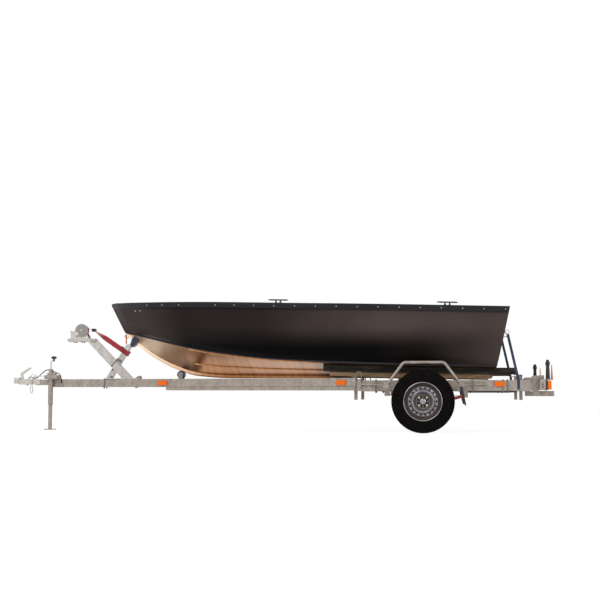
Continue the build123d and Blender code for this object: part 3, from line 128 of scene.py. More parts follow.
# Columns: name, place, aim, size, watts
softboxes = [
    ("key_light", (-3.5, -6.5, 6.5), (0.0, 0.0, 0.8), 4.0, 330.0),
    ("fill_light", (6.5, -7.0, 3.0), (0.8, 0.0, 0.7), 4.0, 130.0),
    ("top_light", (0.0, 2.5, 7.5), (0.0, 0.0, 0.8), 5.0, 260.0),
]
for name, place, aim, size, watts in softboxes:
    turn = (Vector(aim) - Vector(place)).to_track_quat("-Z", "Y").to_euler()
    bpy.ops.object.light_add(type="AREA", location=place, rotation=turn)
    bpy.context.object.name = name
    bpy.context.object.data.size = size
    bpy.context.object.data.energy = watts


# Trailer lead: a black seven-core cable in a soft sheath. It comes out of its entry box on
# the drawbar, loops up over the jack's collar and ends in a round plug parked on the coupling.
def start_material(name):
    material = bpy.data.materials.new(name)
    material.use_nodes = True
    tree = material.node_tree
    tree.nodes.clear()
    shader = add_node(tree, "ShaderNodeBsdfPrincipled")
    add_node(tree, "ShaderNodeOutputMaterial", {}, {"Surface": shader.outputs[0]})
    place = add_node(tree, "ShaderNodeTexCoord").outputs["Object"]
    return material, tree, shader, place


def mottled_finish(name, colours, patch, grain, grain_depth, roughness, metallic=0.0, **sockets):
    # Colour drifts between two shades over patches, with a fine grain in gloss and relief
    material, tree, shader, place = start_material(name)
    patches = add_node(tree, "ShaderNodeTexNoise", {
        "Scale": 1 / (patch * mm), "Detail": 4.0, "Roughness": 0.6,
    }, {"Vector": place})
    ramp = add_node(tree, "ShaderNodeMapRange", {1: 0.35, 2: 0.65}, {0: patches.outputs[0]})
    shades = add_node(tree, "ShaderNodeMixRGB", {
        "Color1": from_hex(colours[0]), "Color2": from_hex(colours[1]),
    }, {"Fac": ramp.outputs[0]})
    tree.links.new(shades.outputs[0], shader.inputs["Base Color"])
    fine = add_node(tree, "ShaderNodeTexNoise", {
        "Scale": 1 / (grain * mm), "Detail": 2.0,
    }, {"Vector": place})
    gloss = add_node(tree, "ShaderNodeMapRange", {
        1: 0.3, 2: 0.7, 3: roughness[0], 4: roughness[1],
    }, {0: fine.outputs[0]})
    tree.links.new(gloss.outputs[0], shader.inputs["Roughness"])
    relief = add_node(tree, "ShaderNodeBump", {
        "Distance": grain_depth * mm, "Strength": 1.0,
    }, {"Height": fine.outputs[0]})
    tree.links.new(relief.outputs[0], shader.inputs["Normal"])
    shader.inputs["Metallic"].default_value = metallic
    for socket, value in sockets.items():
        shader.inputs[socket.replace("_", " ")].default_value = value
    return material


# Moulded PVC sheath: dull black with a faint bloom, slightly leathery to the touch.
cable_sheath = mottled_finish(
    "pvc_cable_sheath", ("#17161A", "#242226"), 30.0, 0.8, 0.05, (0.42, 0.6),
)
lead_diameter = 9.5 * mm
lead_route = [
    (-2165.0, -47.0, 463.3),
    (-2166.0, -49.0, 492.0),
    (-2168.0, -50.0, 526.0),
    (-2184.0, -44.0, 560.0),
    (-2226.0, -38.0, 574.0),
    (-2262.0, -36.0, 594.0),
    (-2304.0, -36.0, 606.0),
    (-2345.0, -39.0, 594.0),
    (-2378.0, -41.0, 560.0),
    (-2410.0, -42.0, 528.0),
    (-2448.0, -41.0, 514.0),
    (-2484.0, -22.0, 524.0),
    (-2512.0, 14.0, 533.0),
    (-2540.0, 50.3, 528.0),
    (-2548.0, 50.3, 499.0),
]
lead_curve = bpy.data.curves.new("trailer_lead_line", "CURVE")
lead_curve.dimensions = "3D"
lead_curve.bevel_depth = lead_diameter / 2
lead_curve.bevel_resolution = 5
lead_curve.resolution_u = 12
spline = lead_curve.splines.new("NURBS")
spline.points.add(len(lead_route) - 1)
for point, place in zip(spline.points, lead_route):
    point.co = (*[c * mm for c in place], 1.0)
spline.order_u = 3
spline.use_endpoint_u = True
lead_curve.materials.append(cable_sheath)
lead = bpy.data.objects.new("trailer_lead_cable", lead_curve)
bpy.context.collection.objects.link(lead)
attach(lead, root_body)
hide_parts("trailer_lead")


# Lead plug: a moulded seven-pin plug, a ribbed round body with a collar and a tapered cable
# sleeve, parked beside the coupling's channel.
def clear_choice():
    bpy.ops.object.select_all(action="DESELECT")


def choose(piece):
    clear_choice()
    piece.select_set(True)
    bpy.context.view_layer.objects.active = piece


def edit_all(piece):
    choose(piece)
    bpy.ops.object.mode_set(mode="EDIT")
    bpy.ops.mesh.select_all(action="SELECT")


def leave_edit():
    bpy.ops.object.mode_set(mode="OBJECT")


def shaped_grid(name, columns, rows, place_of):
    # A grid primitive laid over a surface, its columns and rows placed one by one
    clear_choice()
    bpy.ops.mesh.primitive_grid_add(x_subdivisions=columns, y_subdivisions=rows, size=2.0)
    piece = bpy.context.object
    piece.name = piece.data.name = name
    for vertex in piece.data.vertices:
        column = round((vertex.co.x + 1) / 2 * columns)
        row = round((vertex.co.y + 1) / 2 * rows)
        vertex.co = place_of(column, row)
    return piece


def close_up(piece):
    # Merges what meets, fills open ends and turns the faces of the closed shell outwards
    edit_all(piece)
    bpy.ops.mesh.remove_doubles(threshold=1e-6)
    bpy.ops.mesh.select_all(action="SELECT")
    bpy.ops.mesh.fill_holes(sides=0)
    bpy.ops.mesh.select_all(action="SELECT")
    bpy.ops.mesh.normals_make_consistent(inside=False)
    leave_edit()


def smooth(piece, angle=35.0):
    choose(piece)
    bpy.ops.object.shade_smooth_by_angle(angle=math.radians(angle))


def finish_piece(piece, material, body=root_body, replaced=()):
    piece.data.materials.clear()
    piece.data.materials.append(material)
    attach(piece, body)
    if replaced:
        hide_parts(*replaced)


def turned(name, profile, centre, axis, steps=72):
    # A round piece from its profile of radius and place along the axis, both in mm
    centre = Vector(centre) * mm
    axis = Vector(axis).normalized()
    side = axis.orthogonal().normalized()
    other = axis.cross(side)

    def place_of(column, row):
        radius, along = profile[row]
        angle = 2 * math.pi * column / steps
        ray = side * math.cos(angle) + other * math.sin(angle)
        return centre + ray * radius * mm + axis * along * mm

    piece = shaped_grid(name, steps, len(profile) - 1, place_of)
    close_up(piece)
    return piece


plug_start = Vector(lead_route[-1])
plug_axis = (plug_start - Vector(lead_route[-2])).normalized()
plug_radius = 15.0
plug_length = 52.0
plug_profile = [
    (0.0, -14.0), (5.4, -14.0), (6.2, -13.0), (7.6, 0.0), (11.0, 2.0), (12.5, 5.0), (12.5, 9.0),
    (13.6, 9.6), (13.6, 15.0), (12.5, 15.6), (12.5, 18.0), (13.6, 18.6), (13.6, 24.0),
    (12.5, 24.6), (12.5, 29.0), (plug_radius, 31.0), (plug_radius, plug_length - 1.5),
    (plug_radius - 1.5, plug_length), (0.0, plug_length),
]
# Moulded nylon: matt black with a faint grey bloom from the etched mould.
matt_black_plastic = mottled_finish(
    "moulded_black_nylon", ("#121214", "#1C1C1F"), 40.0, 0.6, 0.04, (0.38, 0.55),
)
plug = turned("lead_plug_body", plug_profile, plug_start, plug_axis, 40)
smooth(plug, 40.0)
finish_piece(plug, matt_black_plastic, replaced=["lead_plug"])


# Hull sides: 3 mm marine aluminium sheet, pressed lengthwise with a knuckle and a lower bend
# and bent round to the stem; coated outside in a satin near-black, left bare inside.
bow_x = -1650.0
hull_length = 3933.0
hull_half_beam = 770.0
hull_depth = 646.0
keel_level = 540.0
plate = 3.0
# Columns: place along the hull, rake, gunwale breadth, sheer height, chine breadth,
# chine height, keel height, knuckle height, as shares of length, half beam and depth
hull_rows = [
    (0.000, -0.493, 0.036, 1.110, 0.013, 0.676, 0.658, 0.893),
    (0.025, -0.440, 0.182, 1.113, 0.074, 0.645, 0.488, 0.866),
    (0.061, -0.380, 0.336, 1.106, 0.167, 0.601, 0.313, 0.828),
    (0.119, -0.280, 0.545, 1.090, 0.310, 0.523, 0.151, 0.767),
    (0.198, -0.170, 0.734, 1.074, 0.475, 0.424, 0.033, 0.688),
    (0.305, -0.060, 0.896, 1.053, 0.634, 0.325, 0.000, 0.623),
    (0.451, 0.000, 0.994, 1.025, 0.760, 0.229, 0.000, 0.598),
    (0.649, 0.050, 1.000, 1.000, 0.804, 0.174, 0.000, 0.583),
    (1.000, 0.218, 0.990, 0.944, 0.792, 0.121, 0.000, 0.534),
]


def fair_slopes(places, values):
    # Slopes of a fair line through the values that never swings past them
    rises = [
        (v2 - v1) / (p2 - p1)
        for p1, p2, v1, v2 in zip(places, places[1:], values, values[1:])
    ]
    slopes = [rises[0]]
    for before, after in zip(rises, rises[1:]):
        level = before * after <= 0
        slopes.append(0.0 if level else 2 * before * after / (before + after))
    return slopes + [rises[-1]]


row_places = [row[0] for row in hull_rows]
row_slopes = [fair_slopes(row_places, [row[i] for row in hull_rows]) for i in range(1, 8)]


def hull_measures(place):
    low = max(i for i in range(len(hull_rows) - 1) if hull_rows[i][0] <= place or i == 0)
    run = row_places[low + 1] - row_places[low]
    t = (place - row_places[low]) / run
    measures = []
    for column, slopes in enumerate(row_slopes, start=1):
        start, end = hull_rows[low][column], hull_rows[low + 1][column]
        measures.append(
            start * (2 * t ** 3 - 3 * t ** 2 + 1) + end * (3 * t ** 2 - 2 * t ** 3)
            + slopes[low] * run * (t ** 3 - 2 * t ** 2 + t)
            + slopes[low + 1] * run * (t ** 3 - t ** 2)
        )
    return measures


knuckle_breadth_share = 0.83
bend_breadth_share = 0.31
bend_height_share = 0.09


class HullStation:
    # One raked cross-section of the hull: its gunwale, knuckle, bend, chine and keel points
    def __init__(self, place):
        self.rake, gunwale, sheer, chine, chine_up, keel_up, knuckle_up = hull_measures(place)
        self.x = bow_x + place * hull_length
        self.top = keel_level + sheer * hull_depth
        half, chine_half = gunwale * hull_half_beam, chine * hull_half_beam
        chine_z = keel_level + chine_up * hull_depth
        flare = half - chine_half
        knuckle_z = keel_level + knuckle_up * hull_depth
        bend_z = chine_z + bend_height_share * (self.top - chine_z)
        self.gunwale = Vector((half, self.top))
        self.knuckle = Vector((chine_half + knuckle_breadth_share * flare, knuckle_z))
        self.bend = Vector((chine_half + bend_breadth_share * flare, bend_z))
        self.chine = Vector((chine_half, chine_z))
        self.keel = Vector((0.0, keel_level + keel_up * hull_depth))

    def point(self, y, z, side=1):
        return Vector((self.x + self.rake * (z - self.top), side * y, z)) * mm


station_count = 110
bow_crowding = 1.3
stations = [HullStation((i / station_count) ** bow_crowding) for i in range(station_count + 1)]
swage_drop = 64.0
swage_half = 5.0
swage_rise = 2.5
press_radius = 22.0


def rounded_corner(before, corner, after, steps=4):
    # The bend's points between two straight runs, a parabola set back by the press radius
    back = min(press_radius, 0.4 * (corner - before).length, 0.4 * (after - corner).length)
    start = corner + (before - corner).normalized() * back
    end = corner + (after - corner).normalized() * back
    points = []
    for i in range(steps + 1):
        t = i / steps
        points.append(start * (1 - t) ** 2 + corner * 2 * t * (1 - t) + end * t ** 2)
    return points


def side_line(station):
    run = station.knuckle - station.gunwale
    down = run.normalized()
    outwards = Vector((-down.y, down.x))
    points = [station.gunwale, station.gunwale + down * (swage_drop - 3 * swage_half)]
    for step, rise in ((-1.4, 0.0), (-0.8, 0.7), (0.0, 1.0), (0.8, 0.7), (1.4, 0.0)):
        place = station.gunwale + down * (swage_drop + step * swage_half)
        points.append(place + outwards * rise * swage_rise)
    corner = rounded_corner(station.gunwale, station.knuckle, station.bend)
    points += [points[-1].lerp(corner[0], 0.5)] + corner
    lower = rounded_corner(station.knuckle, station.bend, station.chine)
    points += [corner[-1].lerp(lower[0], share) for share in (0.25, 0.5, 0.75)] + lower
    return points + [lower[-1].lerp(station.chine, 0.5), station.chine]


# Two-pack coating over blasted aluminium: near-black with a warm cast, a satin face that
# gathers broad soft reflections, and a slight orange peel left by the spray gun.
def satin_coating(name, colours, roughness):
    return mottled_finish(
        name, colours, 900.0, 3.0, 0.035, roughness, Specular_IOR_Level=0.22, Coat_Weight=0.06,
        Coat_Roughness=0.3,
    )


# The sides carry a painted sheen: a broad warm reflection painted into the colour along their upper
# half and towards both ends, while they stay deep black amidships and below. Columns: share of the
# hull's length, sheen above, sheen below
painted_sheen_rows = [
    (0.06, 0.60, 0.55), (0.12, 0.50, 0.42), (0.17, 0.38, 0.16), (0.22, 0.25, 0.0),
    (0.42, 0.28, 0.0), (0.50, 0.50, 0.0), (0.58, 0.80, 0.0), (0.68, 0.95, 0.0),
    (0.80, 1.00, 0.10), (0.89, 1.00, 0.42), (1.00, 0.92, 0.55),
]
sheen_low, sheen_high = 775.0, 1010.0
deep_black, painted_sheen_black = "#050405", "#3F3330"


def place_stops(ramp, stops):
    # Stops of (share, colour) in place of the two that the ramp starts with
    places = ramp.color_ramp.elements
    for share, colour in stops:
        places.new(share).color = colour
    places.remove(places[0])
    places.remove(places[-1])


def painted_side_sheen(tree, place):
    split = add_node(tree, "ShaderNodeSeparateXYZ", {}, {0: place})
    along = add_node(tree, "ShaderNodeMapRange", {
        1: bow_x * mm, 2: (bow_x + hull_length) * mm,
    }, {0: split.outputs["X"]})
    up = add_node(tree, "ShaderNodeMapRange", {
        "interpolation_type": "SMOOTHSTEP", 1: sheen_low * mm, 2: sheen_high * mm,
    }, {0: split.outputs["Z"]})
    levels = []
    for column in (2, 1):
        ramp = add_node(tree, "ShaderNodeValToRGB", {}, {"Fac": along.outputs[0]})
        place_stops(ramp, [(row[0], (row[column],) * 3 + (1.0,)) for row in painted_sheen_rows])
        levels.append(ramp.outputs[0])
    return add_node(tree, "ShaderNodeMixRGB", {}, {
        "Fac": up.outputs[0], "Color1": levels[0], "Color2": levels[1],
    }).outputs[0]


# Side coating: base colour and specular level follow the painted sheen, not any light that falls on
# it
side_coating, tree, shader, place = start_material("satin_black_coating")
sheen = painted_side_sheen(tree, place)
drift = add_node(tree, "ShaderNodeTexNoise", {"Scale": 1 / (700 * mm), "Detail": 3.0}, {
    "Vector": place,
})
drift_range = add_node(tree, "ShaderNodeMapRange", {1: 0.3, 2: 0.7, 3: 0.8, 4: 1.15}, {
    0: drift.outputs[0],
})
sheen = add_node(tree, "ShaderNodeMath", {"operation": "MULTIPLY"}, {
    0: sheen, 1: drift_range.outputs[0],
}).outputs[0]
shades = add_node(tree, "ShaderNodeMixRGB", {
    "Color1": from_hex(deep_black), "Color2": from_hex(painted_sheen_black),
}, {"Fac": sheen})
tree.links.new(shades.outputs[0], shader.inputs["Base Color"])
gleam = add_node(tree, "ShaderNodeMapRange", {3: 0.035, 4: 0.24}, {0: sheen})
tree.links.new(gleam.outputs[0], shader.inputs["Specular IOR Level"])
peel = add_node(tree, "ShaderNodeTexNoise", {"Scale": 1 / (3 * mm), "Detail": 2.0}, {
    "Vector": place,
})
gloss = add_node(tree, "ShaderNodeMapRange", {1: 0.3, 2: 0.7, 3: 0.36, 4: 0.44}, {
    0: peel.outputs[0],
})
tree.links.new(gloss.outputs[0], shader.inputs["Roughness"])
relief = add_node(tree, "ShaderNodeBump", {"Distance": 0.035 * mm}, {"Height": peel.outputs[0]})
tree.links.new(relief.outputs[0], shader.inputs["Normal"])


# Rolled aluminium sheet inside the boat: clean and pale, brushed lengthwise by the rolls,
# with fingerprints and dull patches.
def rolled_aluminium(name, colours, line, roughness):
    material, tree, shader, place = start_material(name)
    stretch = add_node(tree, "ShaderNodeMapping", {"Scale": (0.04, 1.0, 1.0)}, {"Vector": place})
    lines = add_node(tree, "ShaderNodeTexNoise", {
        "Scale": 1 / (line * mm), "Detail": 3.0,
    }, {"Vector": stretch.outputs[0]})
    patches = add_node(tree, "ShaderNodeTexNoise", {
        "Scale": 1 / (340 * mm), "Detail": 5.0, "Roughness": 0.65,
    }, {"Vector": place})
    ramp = add_node(tree, "ShaderNodeMapRange", {1: 0.35, 2: 0.65}, {0: patches.outputs[0]})
    shades = add_node(tree, "ShaderNodeMixRGB", {
        "Color1": from_hex(colours[0]), "Color2": from_hex(colours[1]),
    }, {"Fac": ramp.outputs[0]})
    tree.links.new(shades.outputs[0], shader.inputs["Base Color"])
    gloss = add_node(tree, "ShaderNodeMapRange", {
        1: 0.3, 2: 0.7, 3: roughness[0], 4: roughness[1],
    }, {0: lines.outputs[0]})
    tree.links.new(gloss.outputs[0], shader.inputs["Roughness"])
    relief = add_node(tree, "ShaderNodeBump", {"Distance": 0.05 * mm}, {"Height": lines.outputs[0]})
    tree.links.new(relief.outputs[0], shader.inputs["Normal"])
    shader.inputs["Metallic"].default_value = 1.0
    return material


inner_sheet = rolled_aluminium("rolled_aluminium_sheet", ("#B9B8B6", "#CFCFCD"), 4.0, (0.32, 0.5))
sides = (("left", -1), ("right", 1))
side_rows = len(side_line(stations[0])) - 1


def modify(piece, kind, **settings):
    choose(piece)
    modifier = piece.modifiers.new(kind.lower(), kind)
    for name, value in settings.items():
        setattr(modifier, name, value)
    bpy.ops.object.modifier_apply(modifier=modifier.name)


def face_towards(piece, direction):
    # Turns an open sheet's faces to the given side
    total = sum((face.normal * face.area for face in piece.data.polygons), Vector())
    if total.dot(Vector(direction)) < 0:
        edit_all(piece)
        bpy.ops.mesh.flip_normals()
        leave_edit()


def make_sheet(skin, outer_finish, node):
    # Gives a skin its plate thickness, with its own finish outside and bare sheet inside
    skin.data.materials.append(outer_finish)
    skin.data.materials.append(inner_sheet)
    modify(skin, "SOLIDIFY", thickness=plate * mm, offset=-1.0, material_offset=1)
    smooth(skin, 40.0)
    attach(skin, root_body)
    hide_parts(node)


for side_name, side in sides:
    lines = [side_line(station) for station in stations]
    skin = shaped_grid(
        f"hull_side_sheet_{side_name}", station_count, side_rows,
        lambda column, row: stations[column].point(*lines[column][row], side),
    )
    face_towards(skin, (0, side, 0))
    make_sheet(skin, side_coating, f"hull_side_{side_name}")


# Hull bottom: the same sheet left bare, the mill's bright face. Its warm tan colour is a painted
# reflection of the ground, drifting in long wavy bands where the plate dishes between its welds.
bottom_bands_mm = 900.0
ripple_scale = 4.2
bottom_sheet, tree, shader, place = start_material("bare_mill_aluminium")
squeeze = add_node(tree, "ShaderNodeMapping", {"Scale": (1.0, 0.12, 0.35)}, {"Vector": place})
bands = add_node(tree, "ShaderNodeTexNoise", {
    "Scale": 1 / (bottom_bands_mm * mm), "Detail": 3.0, "Roughness": 0.45, "Distortion": 0.3,
}, {"Vector": squeeze.outputs[0]})
ripples = add_node(tree, "ShaderNodeTexWave", {
    "wave_type": "BANDS", "bands_direction": "X", "Scale": ripple_scale, "Distortion": 3.0,
    "Detail": 2.0,
}, {"Vector": squeeze.outputs[0]})
tone = add_node(tree, "ShaderNodeMath", {"operation": "MULTIPLY_ADD", 1: -0.05}, {
    0: ripples.outputs["Fac"], 2: bands.outputs[0],
})
# Painted reflection: the warm tans that the bare metal is coloured with
painted_reflection_tans = ((0.3, "#9C6A44"), (0.48, "#BE8A5E"), (0.66, "#D8AE86"))
ramp = add_node(tree, "ShaderNodeValToRGB", {}, {"Fac": tone.outputs[0]})
place_stops(ramp, [(share, from_hex(tan)) for share, tan in painted_reflection_tans])
# Fine cross lines where stitch welds inside print through, a painted highlight over the bow and a
# painted shadow over the stern
split = add_node(tree, "ShaderNodeSeparateXYZ", {}, {0: place})
weld_pitch, weld_sharpness, weld_share = 130.0, 40.0, 0.3
welds = add_node(tree, "ShaderNodeTexWave", {
    "wave_type": "BANDS", "bands_direction": "X", "Scale": math.pi / (10 * weld_pitch * mm),
    "Distortion": 0.6, "Detail": 1.0,
}, {"Vector": place})
thin = add_node(tree, "ShaderNodeMath", {"operation": "POWER", 1: weld_sharpness}, {
    0: welds.outputs["Fac"],
})
faint = add_node(tree, "ShaderNodeMath", {"operation": "MULTIPLY", 1: weld_share}, {
    0: thin.outputs[0],
})
marked = add_node(tree, "ShaderNodeMixRGB", {"Color2": from_hex("#5F3F27")}, {
    "Fac": faint.outputs[0], "Color1": ramp.outputs[0],
})
# Painted highlight: the bow's bottom is blended towards pale cream
pale_from, pale_to, pale_share = -650.0, -1350.0, 0.95
bow_painted_highlight = add_node(tree, "ShaderNodeMapRange", {
    1: pale_from * mm, 2: pale_to * mm, 4: pale_share,
}, {0: split.outputs["X"]})
bow_highlighted = add_node(tree, "ShaderNodeMixRGB", {"Color2": from_hex("#F6DFC6")}, {
    "Fac": bow_painted_highlight.outputs[0], "Color1": marked.outputs[0],
})
# Painted shadow: towards the stern the bottom is blended to near black
shade_from, shade_to, shade_share = 420.0, 640.0, 0.94
shadow = add_node(tree, "ShaderNodeMapRange", {
    1: shade_from * mm, 2: shade_to * mm, 4: shade_share,
}, {0: split.outputs["X"]})
shaded = add_node(tree, "ShaderNodeMixRGB", {"Color2": from_hex("#16100C")}, {
    "Fac": shadow.outputs[0], "Color1": bow_highlighted.outputs[0],
})
tree.links.new(shaded.outputs[0], shader.inputs["Base Color"])
scuffs = add_node(tree, "ShaderNodeTexNoise", {"Scale": 1 / (9 * mm), "Detail": 5.0}, {
    "Vector": squeeze.outputs[0],
})
gloss = add_node(tree, "ShaderNodeMapRange", {1: 0.3, 2: 0.7, 3: 0.27, 4: 0.33}, {
    0: scuffs.outputs[0],
})
tree.links.new(gloss.outputs[0], shader.inputs["Roughness"])
dishing = add_node(tree, "ShaderNodeBump", {"Distance": 3 * mm, "Strength": 0.15}, {
    "Height": bands.outputs[0],
})
tree.links.new(dishing.outputs[0], shader.inputs["Normal"])
shader.inputs["Metallic"].default_value = 1.0
bottom_rows = 10
for side_name, side in sides:
    def bottom_place(column, row):
        station = stations[column]
        y, z = station.chine.lerp(station.keel, row / bottom_rows)
        return station.point(y, z, side)

    skin = shaped_grid(f"hull_bottom_sheet_{side_name}", station_count, bottom_rows, bottom_place)
    face_towards(skin, (0, 0, -1))
    make_sheet(skin, bottom_sheet, f"hull_bottom_{side_name}")


# Keel bar, strakes and chine trim: extruded bars that follow the plates. The keel bar and the
# strakes are welded on bare, and the chine's folded edge is coated near-black, with a painted blue
# highlight.
def hull_bar(name, outline_of, chosen):
    outlines = [(station, outline_of(station)) for station in chosen]
    count = len(outlines[0][1])
    bar = shaped_grid(
        name, len(chosen) - 1, count,
        lambda column, row: outlines[column][0].point(*outlines[column][1][row % count]),
    )
    close_up(bar)
    return bar


keel_half, keel_height = 15.0, 25.0


def keel_outline(station):
    lift = (station.chine.y - station.keel.y) / station.chine.x * keel_half
    z = station.keel.y
    return [
        (0.0, z), (keel_half, z + min(lift, keel_height)), (keel_half, z - keel_height),
        (-keel_half, z - keel_height), (-keel_half, z + min(lift, keel_height)),
    ]


keel = hull_bar("keel_bar_extrusion", keel_outline, stations)
modify(keel, "BEVEL", width=3 * mm, segments=2, limit_method="ANGLE", angle_limit=math.radians(40))
smooth(keel)
finish_piece(keel, bottom_sheet, replaced=["keel_bar"])


def join_as(name, pieces):
    clear_choice()
    for piece in pieces:
        piece.select_set(True)
    bpy.context.view_layer.objects.active = pieces[0]
    bpy.ops.object.join()
    pieces[0].name = pieces[0].data.name = name
    return pieces[0]


strake_shares = [(0.36, 0.40), (0.90, 0.94)]
strake_depth = 12.0
strake_first = row_places[4]
strake_stations = [s for s in stations if s.x >= bow_x + strake_first * hull_length]
strakes = []
for inner, outer in strake_shares:
    for side_name, side in sides:
        def strake_outline(station):
            start = station.keel.lerp(station.chine, inner)
            end = station.keel.lerp(station.chine, outer)
            return [(side * start.x, start.y), (side * end.x, end.y),
                    (side * end.x, end.y - strake_depth)]
        strakes.append(hull_bar(f"strake_{inner}_{side_name}", strake_outline, strake_stations))
strake_set = join_as("bottom_strake_angles", strakes)
smooth(strake_set)
finish_piece(strake_set, bottom_sheet, replaced=["bottom_strakes"])

# The coating again with a bluer cast, which is a painted highlight where the folded edge catches
# the light from below.
blue_black_coating = satin_coating("blue_black_edge_coating", ("#161722", "#20222E"), (0.3, 0.4))
trim_out, trim_low, trim_high = 3.5, 9.0, 5.0
for side_name, side in sides:
    def trim_outline(station):
        y, z = station.chine
        rise = station.bend - station.chine
        up = rise.normalized() * trim_high
        return [(side * max(y - 2, 0.5), z - 1), (side * (y + trim_out), z - trim_low),
                (side * (y + trim_out + 1), z - trim_low + 3),
                (side * (y + up.x + trim_out), z + up.y)]
    trim = hull_bar(f"chine_trim_{side_name}", trim_outline, stations)
    smooth(trim)
    finish_piece(trim, blue_black_coating)


# Gunwales: hollow aluminium extrusions over the sheet's edge with a flat outer band, coated
# like the sides. They are riveted through the band, and capped at the bow and at the transom.
gunwale_depth, gunwale_width = 50.0, 46.0
gunwale_wall, gunwale_lip, gunwale_out = 4.0, 22.0, 12.0
# The coating on the extrusions: deeper, with a tighter highlight along the flat band.
rail_coating = satin_coating("satin_rail_coating", ("#0C0B10", "#17151B"), (0.3, 0.4))
for side_name, side in sides:
    def gunwale_outline(station):
        y, z = station.gunwale
        lean = (y - station.knuckle.x) / (z - station.knuckle.y) * gunwale_depth
        inner = max(y - gunwale_width, plate)
        wall = min(gunwale_wall, (y - inner) / 4)
        outline = [
            (y - lean + 0.5, z - gunwale_depth), (y + gunwale_out, z - gunwale_depth),
            (y + gunwale_out, z + gunwale_wall), (inner, z + gunwale_wall),
            (inner, z - gunwale_lip), (inner + wall, z - gunwale_lip), (inner + wall, z), (y, z),
        ]
        return [(side * a, b) for a, b in outline]
    rail = hull_bar(f"gunwale_extrusion_{side_name}", gunwale_outline, stations)
    modify(rail, "BEVEL", width=2.5 * mm, segments=3, limit_method="ANGLE",
           angle_limit=math.radians(50))
    smooth(rail)
    finish_piece(rail, rail_coating, replaced=["gunwales"])

rivet_drop = 25.0
rivet_radius, rivet_height, rivet_sink = 5.5, 2.8, 0.3
rivet_places = [-1188, -1014, -832, -647, -456, -267, -76, 117, 312, 506]
rivet_places += [701 + 193 * i for i in range(9)]
# Plain aluminium rivets: bright domes, dulled warm by handling.
rivet_metal = mottled_finish(
    "bright_rivet_aluminium", ("#A3958A", "#BFB1A4"), 6.0, 0.5, 0.02, (0.3, 0.45), metallic=1.0,
)


def station_near(x):
    return min(stations, key=lambda s: abs(s.x - x))


def domed_head(centre, axis, radius, height):
    profile = [(radius, 0.0), (radius * 0.93, height * 0.45), (radius * 0.7, height * 0.8),
               (radius * 0.38, height * 0.97), (0.0, height)]
    return turned("head", [(0.0, 0.0)] + profile, centre, axis, 14)


for side_name, side in sides:
    heads = []
    for x in rivet_places:
        station = station_near(x)
        y = side * (station.gunwale.x + gunwale_out - rivet_sink)
        centre = (x, y, station.top - rivet_drop)
        heads.append(domed_head(centre, (0, side, 0), rivet_radius, rivet_height))
    rivets = join_as(f"gunwale_rivets_{side_name}", heads)
    smooth(rivets, 60.0)
    finish_piece(rivets, rivet_metal)


# Frame nodes that keep their own mesh: each takes its finish, and its sawn edges get a small
# round. The mesh is loose triangles, so they are welded first.
def dress(name, material, edge=0.0):
    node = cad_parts[name]
    node.data.materials.clear()
    node.data.materials.append(material)
    if edge:
        weld = node.modifiers.new("weld", "WELD")
        weld.merge_threshold = 0.01 * mm
        rounding = node.modifiers.new("edge_round", "BEVEL")
        rounding.width = edge * mm
        rounding.segments = 2
        rounding.limit_method = "ANGLE"
        rounding.angle_limit = math.radians(35)
        rounding.harden_normals = False


dress("gunwale_corners", rail_coating, 1.5)
dress("stem", side_coating)
dress("transom", side_coating, 1.0)


# Inside of the boat: pressed ribs, a floor sheet, three box benches and a fore deck with a
# locker hatch, all bare aluminium sheet welded in; a varnished board carries the motor.
for node in ("ribs", "floor", "benches", "bow_deck"):
    dress(node, inner_sheet, 1.2)
# Marine ply: warm brown in patches, under a clear varnish that shines.
board_ply = mottled_finish(
    "varnished_marine_ply", ("#5A3A22", "#7A5232"), 60.0, 1.5, 0.05, (0.25, 0.4), Coat_Weight=0.5,
)
dress("motor_board", board_ply, 2.0)


# Fittings: glass-filled nylon cleats screwed to the gunwales, stainless eyes at the stem and
# the transom, and a white screw plug in the drain.
cleat_length, cleat_height, cleat_bar, cleat_foot = 190.0, 34.0, 14.0, 26.0
cleat_foot_spread, cleat_setbacks = 42.0, (1804.0, 3370.0)
cleat_seat_gap = 0.3
horn_profile = [
    (0.0, -cleat_length / 2), (3.4, -cleat_length / 2), (5.4, -88.0), (cleat_bar / 2, -70.0),
    (cleat_bar / 2, 70.0), (5.4, 88.0), (3.4, cleat_length / 2), (0.0, cleat_length / 2),
]
foot_profile = [
    (0.0, 0.0), (cleat_foot / 2, 0.0), (cleat_foot / 2, 2.5), (9.0, 6.0), (7.0, 14.0),
    (7.0, cleat_height - cleat_bar / 2), (0.0, cleat_height - cleat_bar / 2),
]
cleat_parts = []
for setback in cleat_setbacks:
    for side_name, side in sides:
        ends = []
        for reach in (-cleat_length / 2, cleat_length / 2):
            station = HullStation((setback + reach) / hull_length)
            y = side * (station.gunwale.x + (gunwale_out - gunwale_width) / 2)
            ends.append(Vector((station.x, y, station.top + gunwale_wall + cleat_seat_gap)))
        middle = (ends[0] + ends[1]) / 2
        along = (ends[1] - ends[0]).normalized()
        up = Vector((-along.z, 0.0, along.x)).normalized()
        bar_middle = middle + up * (cleat_height - cleat_bar / 2)
        cleat_parts.append(turned("horned_bar", horn_profile, bar_middle, along, 20))
        for reach in (-cleat_foot_spread / 2, cleat_foot_spread / 2):
            cleat_parts.append(turned("foot", foot_profile, middle + along * reach, up, 24))
deck_cleats = join_as("deck_cleats", cleat_parts)
smooth(deck_cleats, 40.0)
finish_piece(deck_cleats, matt_black_plastic, replaced=["cleats"])
# Brushed stainless steel: a light warm grey with soft highlights.
stainless = mottled_finish(
    "brushed_stainless_steel", ("#A9A5A0", "#C4C0BA"), 25.0, 0.7, 0.02, (0.25, 0.38), metallic=1.0,
)
dress("bow_eye", stainless)
dress("transom_eyes", stainless, 1.0)
